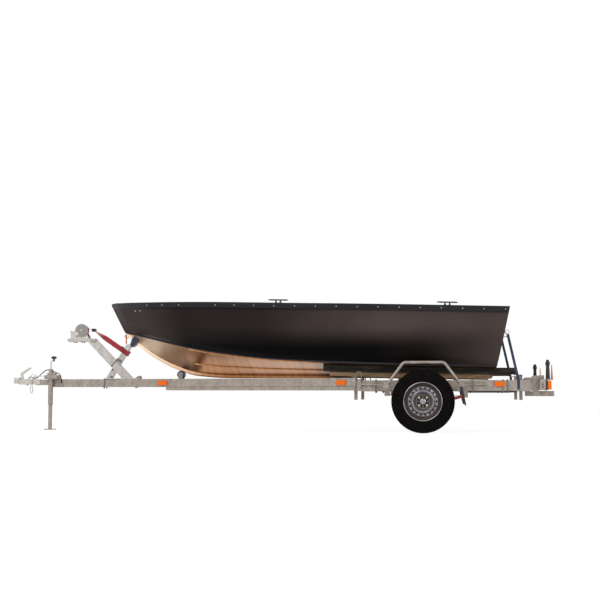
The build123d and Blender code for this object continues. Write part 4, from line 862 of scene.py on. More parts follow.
# Moulded polypropylene: off-white and slightly waxy.
white_plastic = mottled_finish(
    "moulded_white_polypropylene", ("#DCD8D0", "#ECE8E0"), 20.0, 0.6, 0.03, (0.35, 0.5),
)
drain_low, drain_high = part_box("drain_plug")
drain_centre = (Vector(drain_low) + Vector(drain_high)) / 2 / mm
transom_rake = hull_rows[-1][1]
drain_axis = Vector((1, 0, -transom_rake)).normalized()
drain = turned("drain_plug_knob", [
    (0.0, -6.6), (16.0, -6.6), (16.0, -3.5), (12.0, -2.6), (12.0, -1.0), (14.5, 0.5), (14.5, 4.5),
    (13.2, 6.2), (6.0, 6.8), (0.0, 6.8),
], drain_centre, drain_axis, 36)
smooth(drain)
finish_piece(drain, white_plastic, replaced=["drain_plug"])


# Trailer frame: square and flat-sided tube, cut, drilled and dipped in molten zinc. The zinc
# dries in dull spangles a centimetre or so across, with runs and a warm grey bloom.
def zinc_dip(name, colours, spangle, roughness, metallic=0.55):
    material, tree, shader, place = start_material(name)
    cells = add_node(tree, "ShaderNodeTexVoronoi", {"Scale": 1 / (spangle * mm)}, {"Vector": place})
    grey = add_node(tree, "ShaderNodeRGBToBW", {}, {0: cells.outputs["Color"]})
    runs = add_node(tree, "ShaderNodeMapping", {"Scale": (1.0, 1.0, 0.25)}, {"Vector": place})
    stain = add_node(tree, "ShaderNodeTexNoise", {
        "Scale": 1 / (55 * mm), "Detail": 6.0, "Roughness": 0.65,
    }, {"Vector": runs.outputs[0]})
    both = add_node(tree, "ShaderNodeMixRGB", {"Fac": 0.3}, {
        "Color1": stain.outputs[0], "Color2": grey.outputs[0],
    })
    ramp = add_node(tree, "ShaderNodeMapRange", {1: 0.3, 2: 0.68}, {0: both.outputs[0]})
    shades = add_node(tree, "ShaderNodeMixRGB", {
        "Color1": from_hex(colours[0]), "Color2": from_hex(colours[1]),
    }, {"Fac": ramp.outputs[0]})
    tree.links.new(shades.outputs[0], shader.inputs["Base Color"])
    gloss = add_node(tree, "ShaderNodeMapRange", {3: roughness[0], 4: roughness[1]}, {
        0: grey.outputs[0],
    })
    tree.links.new(gloss.outputs[0], shader.inputs["Roughness"])
    relief = add_node(tree, "ShaderNodeBump", {"Distance": 0.12 * mm}, {"Height": stain.outputs[0]})
    tree.links.new(relief.outputs[0], shader.inputs["Normal"])
    shader.inputs["Metallic"].default_value = metallic
    return material


dipped_zinc = zinc_dip("hot_dip_galvanised_steel", ("#827971", "#AAA096"), 14.0, (0.4, 0.62))
# A lighter copy of the dip on the winch stand: painted highlight, where the stand catches more
# light
lighter_painted_zinc = zinc_dip("galvanised_steel_painted_lighter", ("#A09A95", "#C4BFBA"), 14.0, (0.4, 0.6))
for node in ("drawbar", "side_rails", "v_arms", "under_tubes", "cross_beams", "stub_bars",
             "lamp_bar", "bunk_posts", "axle"):
    dress(node, dipped_zinc, 2.5)
for node in ("roller_bracket", "spring_mounts"):
    dress(node, dipped_zinc, 1.5)
dress("winch_stand", lighter_painted_zinc, 1.5)
dress("wheel_guards", dipped_zinc)
dress("jack_leg", dipped_zinc, 1.0)
# Zinc put on in a plating bath: paler and finer in grain than the dip, and worn dull on the
# winch.
plated_zinc = zinc_dip("zinc_plated_steel", ("#B3ADA6", "#CDC8C1"), 3.0, (0.3, 0.45), 0.8)
winch_zinc = zinc_dip("worn_winch_zinc", ("#7C7874", "#98938E"), 4.0, (0.3, 0.45), 0.8)
dress("winch_drum", winch_zinc, 1.5)
for node, edge in (("winch_frame", 1.0), ("coupling", 2.5), ("coupling_lever", 2.5)):
    dress(node, plated_zinc, edge)


# Bunks: softwood boards wrapped in black needled carpet, on a bare timber that stiffens them
# from below. The hull lies on the carpet, which gives its marks and a ragged nap, grey with dust
# and painted streak highlights.
bunk_y, bunk_width, bunk_board = 440.0, 110.0, 57.0
timber_width, timber_depth = 70.0, 40.0
bunk_start, bunk_end = 549.0, 2342.0
timber_start, timber_end = 609.0, 2120.0
seat_clear = 1.2
carpet_round, timber_round = 7.0, 3.0


def seat_height(x, y):
    # Height of the bottom sheet's outer face over a point of the bunk
    line = []
    for station in stations:
        if station.chine.x > y:
            z = station.keel.y + (station.chine.y - station.keel.y) * y / station.chine.x
            line.append((station.x + station.rake * (z - station.top), z))
    for (x1, z1), (x2, z2) in zip(line, line[1:]):
        if x <= x2:
            return z1 + (x - x1) * (z2 - z1) / (x2 - x1)
    return line[-1][1]


def rounded_outline(corners, radius, steps=3):
    points = []
    count = len(corners)
    for i, corner in enumerate(corners):
        before = Vector(corners[i - 1])
        after = Vector(corners[(i + 1) % count])
        here = Vector(corner)
        start = here + (before - here).normalized() * radius
        end = here + (after - here).normalized() * radius
        for k in range(steps + 1):
            t = k / steps
            points.append(start * (1 - t) ** 2 + here * 2 * t * (1 - t) + end * t ** 2)
    return points


def lofted_box(name, places, outline_at, side):
    # A closed body through one outline in each X plane
    outlines = [outline_at(x) for x in places]
    count = len(outlines[0])

    def place_of(column, row):
        y, z = outlines[column][row % count]
        return Vector((places[column], side * y, z)) * mm

    piece = shaped_grid(name, len(places) - 1, count, place_of)
    close_up(piece)
    return piece


def carpet_outline(x):
    inner, outer = bunk_y - bunk_width / 2, bunk_y + bunk_width / 2
    low = seat_height(x, bunk_y) - seat_clear - bunk_board
    corners = [
        (inner, seat_height(x, inner) - seat_clear), (outer, seat_height(x, outer) - seat_clear),
        (outer, low), (inner, low),
    ]
    return rounded_outline(corners, carpet_round)


def timber_outline(x):
    high = seat_height(x, bunk_y) - seat_clear - bunk_board
    corners = [
        (bunk_y - timber_width / 2, high), (bunk_y + timber_width / 2, high),
        (bunk_y + timber_width / 2, high - timber_depth),
        (bunk_y - timber_width / 2, high - timber_depth),
    ]
    return rounded_outline(corners, timber_round, 2)


# Needled polypropylene carpet: dull black fibre with no sheen, lumps a few millimetres across,
# and long paler streaks on the nap, partly grey dust and partly painted highlights.
def felted_carpet(name, colours, lump):
    material, tree, shader, place = start_material(name)
    nap = add_node(tree, "ShaderNodeTexNoise", {"Scale": 1 / (lump * mm), "Detail": 8.0}, {
        "Vector": place,
    })
    drag = add_node(tree, "ShaderNodeMapping", {"Scale": (0.2, 1.0, 1.6)}, {"Vector": place})
    dust_and_painted_streaks = add_node(tree, "ShaderNodeTexNoise", {
        "Scale": 1 / (34 * mm), "Detail": 6.0, "Roughness": 0.7,
    }, {"Vector": drag.outputs[0]})
    ramp = add_node(tree, "ShaderNodeMapRange", {1: 0.48, 2: 0.68}, {0: dust_and_painted_streaks.outputs[0]})
    shades = add_node(tree, "ShaderNodeMixRGB", {
        "Color1": from_hex(colours[0]), "Color2": from_hex(colours[1]),
    }, {"Fac": ramp.outputs[0]})
    tree.links.new(shades.outputs[0], shader.inputs["Base Color"])
    relief = add_node(tree, "ShaderNodeBump", {"Distance": 2.2 * mm}, {"Height": nap.outputs[0]})
    tree.links.new(relief.outputs[0], shader.inputs["Normal"])
    shader.inputs["Roughness"].default_value = 0.95
    shader.inputs["Sheen Weight"].default_value = 0.15
    return material


carpet = felted_carpet("needled_black_carpet", ("#19150F", "#4B4038"), 4.0)

# Sawn softwood: warm tan with grain lines along the length.
softwood, tree, shader, place = start_material("weathered_sawn_softwood")
along = add_node(tree, "ShaderNodeMapping", {"Scale": (0.05, 1.0, 1.0)}, {"Vector": place})
grain = add_node(tree, "ShaderNodeTexNoise", {
    "Scale": 1 / (7 * mm), "Detail": 6.0, "Roughness": 0.6, "Distortion": 0.4,
}, {"Vector": along.outputs[0]})
ramp = add_node(tree, "ShaderNodeValToRGB", {}, {"Fac": grain.outputs[0]})
place_stops(ramp, [(0.3, from_hex("#5E4631")), (0.7, from_hex("#B89672"))])
tree.links.new(ramp.outputs[0], shader.inputs["Base Color"])
relief = add_node(tree, "ShaderNodeBump", {"Distance": 0.6 * mm}, {"Height": grain.outputs[0]})
tree.links.new(relief.outputs[0], shader.inputs["Normal"])
shader.inputs["Roughness"].default_value = 0.8

carpet_columns, timber_columns = 90, 24
carpet_places = [
    bunk_start + (bunk_end - bunk_start) * i / carpet_columns for i in range(carpet_columns + 1)
]
timber_places = [
    timber_start + (timber_end - timber_start) * i / timber_columns
    for i in range(timber_columns + 1)
]
# The nap lies unevenly on the board's long faces, as waves: how far they stand out, how near
# the face a point has to be, and their angles in radians for each metre along, up and along
nap_rise, nap_edge = 0.9, 6.0
nap_along, nap_up, nap_drift = 61.0, 170.0, 23.0
for side_name, side in sides:
    board = lofted_box(f"bunk_carpet_{side_name}", carpet_places, carpet_outline, side)
    for vertex in board.data.vertices:
        wave = math.sin(vertex.co.x * nap_along + vertex.co.z * nap_up)
        wave *= math.sin(vertex.co.x * nap_drift)
        if abs(abs(vertex.co.y) - bunk_y * mm) > (bunk_width / 2 - nap_edge) * mm:
            vertex.co.y += math.copysign(wave * nap_rise * mm, vertex.co.y)
    smooth(board, 50.0)
    finish_piece(board, carpet, replaced=[f"bunk_{side_name}"])
    timber = lofted_box(f"bunk_timber_{side_name}", timber_places, timber_outline, side)
    smooth(timber, 30.0)
    finish_piece(timber, softwood)


# Leaf springs: two flat leaves a side in spring steel, rolled into eyes at the ends, sprayed
# red; the lacquer has dulled and picked up road dust.
red_lacquer = mottled_finish(
    "dusty_red_spring_lacquer", ("#8E1E14", "#C23A2A"), 60.0, 1.2, 0.06, (0.4, 0.6),
)
dress("leaf_springs", red_lacquer, 1.0)


def prism(name, outline, y_low, y_high, edge=1.5):
    # A plate with an outline in X and Z, reaching from one Y to another, its edges rounded
    def place_of(column, row):
        x, z = outline[row % len(outline)]
        return Vector((x, (y_low, y_high)[column], z)) * mm

    piece = shaped_grid(name, 1, len(outline), place_of)
    close_up(piece)
    if edge:
        modify(piece, "BEVEL", width=edge * mm, segments=2, limit_method="ANGLE",
               angle_limit=math.radians(30))
    smooth(piece)
    return piece


spring_y, spring_half = 580.0, 22.0
for side_name, side in sides:
    wrapper = prism(f"spring_wrapper_{side_name}", [
        (1700.0, 313.0), (1780.0, 325.0), (1840.0, 338.0), (1893.0, 352.0), (1893.0, 340.0),
        (1862.0, 326.0), (1790.0, 306.0), (1700.0, 297.0),
    ], side * spring_y - spring_half, side * spring_y + spring_half, 1.5)
    finish_piece(wrapper, red_lacquer)


# Tyres: radial trailer tyres. Four ribs and sipes cut the tread, the shoulders break into
# blocks, and the side wall has a bead rib and fine moulded rings.
wheel_x, wheel_z, wheel_half_track = 1491.0, 289.0, 765.0
half_walls = [
    (182.3, 62.0), (184.5, 66.5), (189.0, 69.2), (193.0, 69.2), (196.0, 71.6), (200.0, 72.4),
    (203.0, 72.2), (205.0, 73.4), (207.0, 73.4), (209.0, 73.0), (220.0, 75.4), (232.0, 76.6),
    (242.0, 76.9), (244.5, 77.4), (247.5, 77.3), (250.0, 76.2), (259.0, 73.6), (261.0, 74.2),
    (263.5, 73.4), (268.0, 70.8), (272.5, 67.4), (278.0, 64.0), (283.0, 60.4), (285.2, 57.0),
    (286.4, 52.0), (287.2, 43.0), (286.8, 41.8), (280.4, 41.0), (280.4, 37.0), (287.2, 36.2),
    (287.6, 35.0), (288.4, 17.0), (288.0, 15.8), (281.2, 15.0), (281.2, 11.0), (288.4, 10.2),
    (288.8, 9.0), (289.0, 0.0),
]
tyre_loop = [(165.0, 62.0)] + half_walls
tyre_loop += [(r, -y) for r, y in reversed(half_walls[:-1])] + [(165.0, -62.0)]
sipe_pitches = 66
# Columns of one pitch: share of the pitch, depth that the column is cut
sipe_columns = [(0.0, 0.0), (0.10, 5.0), (0.22, 5.0), (0.32, 0.0)]
sipe_from_radius, sipe_centre_half = 275.0, 9.5

# Tyre rubber: carbon black, matt, browned a little by dust that sits in the moulded rings.
tyre_rubber = mottled_finish(
    "dusty_tyre_rubber", ("#030202", "#0B0808"), 45.0, 1.4, 0.12, (0.72, 0.9),
    Specular_IOR_Level=0.07,
)
for side_name, side in sides:
    columns = sipe_pitches * len(sipe_columns)

    def tyre_place(column, row):
        share, cut = sipe_columns[column % len(sipe_columns)]
        pitch = column // len(sipe_columns)
        radius, y = tyre_loop[row % len(tyre_loop)]
        if radius > sipe_from_radius and abs(y) > sipe_centre_half:
            radius -= cut
        angle = 2 * math.pi * ((pitch + share) % sipe_pitches) / sipe_pitches
        return Vector((
            wheel_x + radius * math.sin(angle), side * (wheel_half_track + y),
            wheel_z + radius * math.cos(angle),
        )) * mm

    tyre = shaped_grid(f"tyre_casing_{side_name}", columns, len(tyre_loop), tyre_place)
    close_up(tyre)
    smooth(tyre, 40.0)
    finish_piece(tyre, tyre_rubber, f"wheel_{side_name}", [f"tyre_{side_name}"])


# Rims and hubs: the rim is rolled and its disc pressed, with a ring of round vents; the whole
# is sprayed silver. The hub shows its greased cap and four zinc-plated bolts.
# Sprayed wheel enamel: silver with fine flake, glossy under light dirt.
rim_silver = mottled_finish(
    "silver_wheel_enamel", ("#7E7A80", "#9C9698"), 50.0, 0.9, 0.03, (0.25, 0.38), metallic=0.8,
)
# Cast iron: almost black and rough. The darkness is partly painted shade, so that the drum recedes
# behind the vents like the shadow inside them.
dark_iron_and_vent_shade = mottled_finish(
    "dark_cast_iron", ("#0D0B0A", "#1A1614"), 25.0, 0.9, 0.08, (0.6, 0.75), metallic=0.2,
)
# Plated zinc on the hub: bright on the cap and yellow on the bolts; the dull grey on the lugs is
# painted shade for their holes.
lug_hole_shade_grey = zinc_dip("lug_hole_painted_shade", ("#5E5957", "#807A76"), 3.0, (0.35, 0.5), 0.7)
bright_zinc = zinc_dip("bright_hub_zinc", ("#9CA2AE", "#C4CAD6"), 3.0, (0.18, 0.3), 0.9)
yellow_zinc = zinc_dip("yellow_passivated_zinc", ("#B0A28A", "#E0D3B8"), 3.0, (0.22, 0.35), 0.8)
# Profiles as radius and place out from the wheel's middle plane
barrel_profile = [
    (177.5, 60.5), (178.0, 64.0), (176.5, 67.0), (173.5, 68.2), (170.5, 67.0), (168.5, 63.0),
    (166.5, 60.0), (161.0, 58.5), (159.5, 56.0), (158.5, 42.0), (155.0, 38.0), (152.5, 37.0),
    (151.0, 34.0), (147.0, 27.0), (141.5, 24.0), (140.0, 20.0), (140.0, -22.0), (158.0, -38.0),
    (159.0, -56.0), (167.0, -60.0), (170.0, -66.0), (174.0, -68.0), (177.5, -66.0),
    (177.5, -60.5), (163.0, -56.0), (162.0, -36.0), (143.5, -24.0), (143.5, 22.0), (158.0, 35.0),
    (162.5, 40.0), (163.0, 55.0), (177.5, 60.5),
]
disc_profile = [
    (140.5, -4.0), (140.5, 4.0), (138.0, 9.5), (134.0, 11.0), (130.0, 10.5), (126.0, 11.0),
    (114.0, 14.0), (109.5, 17.0), (106.5, 23.0), (103.0, 26.2), (98.0, 27.2), (93.0, 26.2),
    (89.5, 22.5), (75.0, 3.0), (70.0, -2.4), (64.0, -4.0), (30.0, -4.0), (30.0, -7.5),
    (66.0, -7.5), (74.0, -3.0), (87.0, 14.0), (92.0, 21.0), (98.0, 23.6), (103.0, 21.0),
    (108.0, 12.0), (114.0, 9.5), (134.0, 6.0), (137.0, 2.0), (137.0, -4.0), (140.5, -4.0),
]
vent_count, vent_circle, vent_radius = 18, 123.5, 9.2
bolt_count, bolt_circle, first_bolt = 4, 49.0, 45.0
# Painted shade in the rim's well and round the disc's dish, darker than the enamel where these
# recesses fall in shadow, with some road film and brake dust
painted_shade_and_dust = mottled_finish(
    "painted_shade_and_dust_on_enamel", ("#2A221E", "#473C35"), 20.0, 0.8, 0.06, (0.5, 0.65), metallic=0.3,
)
# Inner and outer radius of each ring that has a second finish
shaded_well, shaded_dish, bolt_ring = (0.0, 167.5), (50.0, 82.0), (30.0, 65.0)


def coat_ring(piece, material, middle, low, high):
    # Gives the faces between two radii about the axle line a second finish
    piece.data.materials.append(material)
    for face in piece.data.polygons:
        offset = face.center - middle * mm
        if low * mm < math.hypot(offset.x, offset.z) < high * mm:
            face.material_index = 1


def around(centre, out, radius, degrees):
    # A point on a circle about the wheel's axle line
    angle = math.radians(degrees)
    return centre + Vector((radius * math.cos(angle), 0.0, radius * math.sin(angle))) + out


for side_name, side in sides:
    body = f"wheel_{side_name}"
    middle = Vector((wheel_x, side * wheel_half_track, wheel_z))
    outwards = Vector((0, side, 0))
    barrel = turned(f"rim_barrel_{side_name}", barrel_profile, middle, outwards, 96)
    smooth(barrel, 40.0)
    finish_piece(barrel, rim_silver, body, [f"rim_{side_name}"])
    coat_ring(barrel, painted_shade_and_dust, middle, *shaded_well)
    disc = turned(f"rim_disc_{side_name}", disc_profile, middle, outwards, 96)
    cutters = []
    for i in range(vent_count):
        place = around(middle, outwards * -10.0, vent_circle, 360 * i / vent_count)
        cutters.append(turned("vent", [
            (0.0, 0.0), (vent_radius, 0.0), (vent_radius, 40.0), (0.0, 40.0),
        ], place, outwards, 16))
    cutter = join_as("vents", cutters)
    modify(disc, "BOOLEAN", object=cutter, operation="DIFFERENCE", solver="EXACT")
    bpy.data.objects.remove(cutter)
    smooth(disc, 35.0)
    finish_piece(disc, rim_silver, body)
    coat_ring(disc, painted_shade_and_dust, middle, *shaded_dish)
    # The drum's flange out to 137 mm is a dark plate behind the vents: a brake backplate and
    # painted shade for the vents.
    drum = turned(f"hub_drum_{side_name}", [
        (0.0, -56.0), (112.0, -56.0), (114.0, -54.0), (114.0, -20.0), (137.0, -18.0),
        (137.0, -14.0), (110.0, -13.0), (108.0, -9.0), (0.0, -9.0),
    ], middle, outwards, 64)
    smooth(drum)
    finish_piece(drum, dark_iron_and_vent_shade, body)
    face = turned(f"hub_face_{side_name}", [
        (0.0, -8.5), (60.0, -8.5), (60.0, -3.0), (56.0, -1.2), (30.0, -0.6), (0.0, -0.6),
    ], middle, outwards, 48)
    smooth(face)
    finish_piece(face, dark_iron_and_vent_shade, body)
    hub_parts = [turned("grease_cap", [
        (0.0, -2.0), (25.5, -2.0), (25.5, 1.0), (22.5, 2.0), (22.0, 14.0), (19.5, 19.0),
        (12.0, 22.2), (0.0, 23.0),
    ], middle, outwards, 40)]
    for i in range(bolt_count):
        place = around(middle, outwards * -1.0, bolt_circle, first_bolt + 360 * i / bolt_count)
        hub_parts.append(turned("bolt_cone", [
            (0.0, 0.0), (12.0, 0.0), (10.0, 4.0), (0.0, 4.0),
        ], place, outwards, 20))
        hub_parts.append(turned("bolt_head", [
            (0.0, 3.0), (9.8, 3.0), (9.8, 13.0), (8.4, 14.5), (0.0, 14.5),
        ], place, outwards, 6))
    hub = join_as(f"hub_bolts_and_cap_{side_name}", hub_parts)
    smooth(hub)
    finish_piece(hub, bright_zinc, body, [f"hub_{side_name}"])
    coat_ring(hub, yellow_zinc, middle, *bolt_ring)
    # Lug holes: low domes in a darker grey, painted shade for the holes between the bolts
    dimples = []
    for i in range(bolt_count):
        place = around(middle, outwards * -1.4, bolt_circle - 5.0, 360 * i / bolt_count)
        dimples.append(turned("dimple", [
            (0.0, 0.0), (8.0, 0.0), (7.0, 3.0), (0.0, 3.6),
        ], place, outwards, 16))
    lugs = join_as(f"hub_lugs_{side_name}", dimples)
    smooth(lugs)
    finish_piece(lugs, lug_hole_shade_grey, body)


# Mudflaps: moulded black rubber, one behind each wheel. They hang from the rear brackets by
# their thick top edge and taper a little towards the foot.
# Moulded rubber: dull black, greyed a little by road dust.
sheet_rubber = mottled_finish(
    "moulded_black_rubber", ("#131110", "#221F1D"), 40.0, 1.0, 0.06, (0.6, 0.8),
)
flap_outline = [(1822.0, 423.0), (1850.0, 423.0), (1853.0, 400.0), (1882.0, 254.0), (1868.0, 254.0)]
flap_half = 71.0
for side_name, side in sides:
    flap = prism(
        f"mudflap_{side_name}", flap_outline,
        side * wheel_half_track - flap_half, side * wheel_half_track + flap_half, 2.5,
    )
    finish_piece(flap, sheet_rubber, replaced=["mudflaps"])


# Winch: the strap is rolled on its drum between two zinc-plated cheeks, with the large gear
# wheel outside them. The red webbing leads down to the stop post and is sewn round it.
drum_x, drum_z = -1963.0, 1000.0
strap_width, strap_thick, strap_roll = 50.0, 2.4, 60.0
webbing_rib = 2.5
wave_turn = 6.28


def webbing(name, colours, across):
    # Woven polyester: ribs along the strap and picks across it, read from the piece's UV map
    material, tree, shader, place = start_material(name)
    cloth = add_node(tree, "ShaderNodeUVMap")
    ribs = add_node(tree, "ShaderNodeTexWave", {
        "wave_type": "BANDS", "bands_direction": "Y", "Scale": 1 / (webbing_rib * mm) / wave_turn,
    }, {"Vector": cloth.outputs[0]})
    picks = add_node(tree, "ShaderNodeTexWave", {
        "wave_type": "BANDS", "bands_direction": "X", "Scale": 1 / (across * mm) / wave_turn,
        "Distortion": 0.4,
    }, {"Vector": cloth.outputs[0]})
    weave = add_node(tree, "ShaderNodeMath", {"operation": "MULTIPLY"}, {
        0: ribs.outputs["Fac"], 1: picks.outputs["Fac"],
    })
    fade = add_node(tree, "ShaderNodeTexNoise", {"Scale": 1 / (60 * mm), "Detail": 3.0}, {
        "Vector": place,
    })
    tone = add_node(tree, "ShaderNodeMath", {"operation": "MULTIPLY_ADD", 1: 0.5}, {
        0: weave.outputs[0], 2: fade.outputs[0],
    })
    ramp = add_node(tree, "ShaderNodeMapRange", {1: 0.3, 2: 1.0}, {0: tone.outputs[0]})
    shades = add_node(tree, "ShaderNodeMixRGB", {
        "Color1": from_hex(colours[0]), "Color2": from_hex(colours[1]),
    }, {"Fac": ramp.outputs[0]})
    tree.links.new(shades.outputs[0], shader.inputs["Base Color"])
    relief = add_node(tree, "ShaderNodeBump", {"Distance": 0.35 * mm}, {"Height": weave.outputs[0]})
    tree.links.new(relief.outputs[0], shader.inputs["Normal"])
    shader.inputs["Roughness"].default_value = 0.75
    shader.inputs["Sheen Weight"].default_value = 0.4
    return material


red_webbing = webbing("red_polyester_webbing", ("#640811", "#B01525"), 3.0)
navy_webbing = webbing("navy_polyester_webbing", ("#0F1B33", "#22355A"), 2.5)


def woven_strap(name, line, width, thick, material, replaced=()):
    # A strap along a line of (middle, direction of its width), woven with its UVs in metres
    columns, rows = len(line) - 1, 6
    reach = [0.0]
    for (a, _), (b, _) in zip(line, line[1:]):
        reach.append(reach[-1] + (b - a).length)

    def place_of(column, row):
        middle, wide = line[column]
        return (middle + wide * (row / rows - 0.5) * width) * mm

    strap = shaped_grid(name, columns, rows, place_of)
    flat = strap.data.uv_layers[0]
    for loop in strap.data.loops:
        column = loop.vertex_index % (columns + 1)
        row = loop.vertex_index // (columns + 1)
        flat.data[loop.index].uv = (reach[column] * mm, row / rows * width * mm)
    modify(strap, "SOLIDIFY", thickness=thick * mm, offset=0.0)
    modify(strap, "BEVEL", width=thick / 3 * mm, segments=2, limit_method="ANGLE",
           angle_limit=math.radians(50))
    smooth(strap, 50.0)
    finish_piece(strap, material, replaced=replaced)


roll_bore, roll_core = 9.5, 12.0
roll_profile = [(roll_bore, -strap_width / 2)]
turns = round((strap_roll - roll_core) / strap_thick)
edges = []
for turn in range(turns):
    radius = roll_core + turn * strap_thick
    edges += [
        (radius + 0.3, strap_width / 2 + 0.3),
        (radius + strap_thick * 0.5, strap_width / 2 - 0.5),
    ]
roll_profile += [(r, -y) for r, y in edges]
roll_profile += [(strap_roll, -strap_width / 2 + 1.0), (strap_roll, strap_width / 2 - 1.0)]
roll_profile += list(reversed(edges))
roll_profile += [(roll_bore, strap_width / 2), (roll_bore, -strap_width / 2)]
roll = turned("winch_strap_roll", roll_profile, (drum_x, 0.0, drum_z), (0, 1, 0), 64)
smooth(roll, 40.0)
finish_piece(roll, red_webbing)

run_start = Vector((drum_x + 30.0, 0.0, drum_z + 34.0))
keeper = Vector((-1844.0, 0.0, 1003.0))
lap = Vector((-1540.0, -27.6, 800.0))
along = (lap - keeper).normalized()
level = (Vector((0, 1, 0)) - along * along.y).normalized()
upright = along.cross(level)
flat_along = Vector((along.x, 0, along.z)).normalized()
strap_line = []
keeper_steps, run_steps = 6, 40
for i in range(keeper_steps + 1):
    strap_line.append((run_start.lerp(keeper, i / keeper_steps), Vector((0, 1, 0))))
twist_end_share = 0.62
for i in range(1, run_steps + 1):
    share = i / run_steps
    t = min(share / twist_end_share, 1.0)
    tilt = math.pi / 2 * t * t * (3 - 2 * t)
    strap_line.append((keeper.lerp(lap, share), level * math.cos(tilt) + upright * math.sin(tilt)))
post_half = 27.0
lap_reach = 74.0
wrap_round, wrap_steps = 6.0, 6
wrap_points = [(10.0, -post_half), (20.0, -post_half), (lap_reach - wrap_round, -post_half)]
for i in range(1, wrap_steps + 1):
    angle = math.pi / 2 * i / wrap_steps
    wrap_points.append((
        lap_reach - wrap_round * (1 - math.sin(angle)),
        -post_half + wrap_round * (1 - math.cos(angle)),
    ))
wrap_points += [(lap_reach, -8.0), (lap_reach, 8.0)]
for i in range(wrap_steps + 1):
    angle = math.pi / 2 * i / wrap_steps
    wrap_points.append((
        lap_reach - wrap_round * (1 - math.cos(angle)),
        post_half - wrap_round * (1 - math.sin(angle)),
    ))
wrap_points += [(15.0, post_half), (-10.0, post_half), (-40.0, post_half + 0.5)]
for forward, y in wrap_points:
    strap_line.append((Vector((lap.x, y, lap.z)) + flat_along * forward, upright))
woven_strap(
    "winch_strap_run", strap_line, strap_width, strap_thick, red_webbing,
    ["winch_strap"],
)


# Stitching of the strap's lap: short slanted stitches of bonded black thread, in rows, sewn by
# machine through both layers. The thread is nearly black and shows as a dark patch of zigzags.
bend_steps = 6


def bent_rod(name, points, radius, bend):
    # A round rod or small tube that runs straight between points and turns with a bend radius
    points = [Vector(p) for p in points]
    line = [points[0]]
    for before, here, after in zip(points, points[1:], points[2:]):
        back = min(bend, 0.45 * (here - before).length, 0.45 * (after - here).length)
        start = here + (before - here).normalized() * back
        end = here + (after - here).normalized() * back
        for i in range(bend_steps + 1):
            t = i / bend_steps
            line.append(start * (1 - t) ** 2 + here * 2 * t * (1 - t) + end * t ** 2)
    line.append(points[-1])
    curve = bpy.data.curves.new(name, "CURVE")
    curve.dimensions = "3D"
    curve.bevel_depth = radius * mm
    curve.bevel_resolution = 3
    curve.use_fill_caps = True
    spline = curve.splines.new("POLY")
    spline.points.add(len(line) - 1)
    for point, place in zip(spline.points, line):
        point.co = (*(place * mm), 1.0)
    piece = bpy.data.objects.new(name, curve)
    bpy.context.collection.objects.link(piece)
    choose(piece)
    bpy.ops.object.convert(target="MESH")
    piece = bpy.context.object
    edit_all(piece)
    bpy.ops.mesh.remove_doubles(threshold=1e-6)
    bpy.ops.mesh.normals_make_consistent(inside=False)
    leave_edit()
    smooth(piece, 50.0)
    return piece


thread_black = mottled_finish(
    "bonded_black_thread", ("#1B0A0E", "#2A1216"), 10.0, 0.4, 0.02, (0.6, 0.8),
)
stitches = []
stitch_rows, stitch_columns = 7, 6
stitch_pitch, row_pitch, stitch_start = 8.0, 6.4, 6.0
stitch_half, stitch_lean, thread_radius = 2.6, 0.5, 0.7
for row in range(stitch_rows):
    for column in range(stitch_columns):
        place = Vector((lap.x, lap.y - strap_thick / 2 - 0.4, lap.z))
        place += flat_along * (column * stitch_pitch + stitch_start)
        place += upright * (row - (stitch_rows - 1) / 2) * row_pitch
        turn = stitch_lean if (row + column) % 2 else -stitch_lean
        lean = (flat_along * math.cos(turn) + upright * math.sin(turn)) * stitch_half
        stitches.append(bent_rod("stitch", [place - lean, place + lean], thread_radius, 1.0))
sewn = join_as("strap_stitches", stitches)
finish_piece(sewn, thread_black)


# Keeper: a moulded black nylon guide. It is clipped over the strap where that leaves the drum,
# and keeps the webbing level.
def at_origin(piece):
    choose(piece)
    bpy.ops.object.transform_apply(location=True, rotation=True, scale=True)


def block(name, low, high, edge=2.0, segments=3):
    # A cube primitive stretched between two corners, its edges rounded
    low, high = Vector(low), Vector(high)
    clear_choice()
    bpy.ops.mesh.primitive_cube_add(
        size=1.0, location=(low + high) / 2 * mm, scale=(high - low) * mm,
    )
    piece = bpy.context.object
    piece.name = piece.data.name = name
    at_origin(piece)
    if edge:
        modify(piece, "BEVEL", width=edge * mm, segments=segments, limit_method="ANGLE",
               angle_limit=math.radians(30))
    smooth(piece)
    return piece


keeper_half = 31.0
keeper_body = block(
    "strap_keeper", (keeper.x - 19, -keeper_half, keeper.z - 15),
    (keeper.x + 17, keeper_half, keeper.z + 17), 7.0, 4,
)
finish_piece(keeper_body, matt_black_plastic)


# Snap hook: forged steel, hung between the strap's loop and the stem's eye. It is sprayed with
# orange enamel, which is glossy and a little uneven over the forging.
orange_enamel = mottled_finish(
    "orange_hook_enamel", ("#B8590F", "#E07A1C"), 20.0, 0.7, 0.04, (0.3, 0.45),
)
dress("strap_hook", orange_enamel)


# Bow stop: a cast navy polyurethane vee that the stem's foot beds in, bolted to the post's
# head. It is dull and slightly soft, and drifts between two deep blues.
navy_rubber = mottled_finish(
    "navy_polyurethane", ("#0E1230", "#1A2048"), 30.0, 0.8, 0.05, (0.45, 0.6),
)
dress("bow_stop", navy_rubber, 3.0)


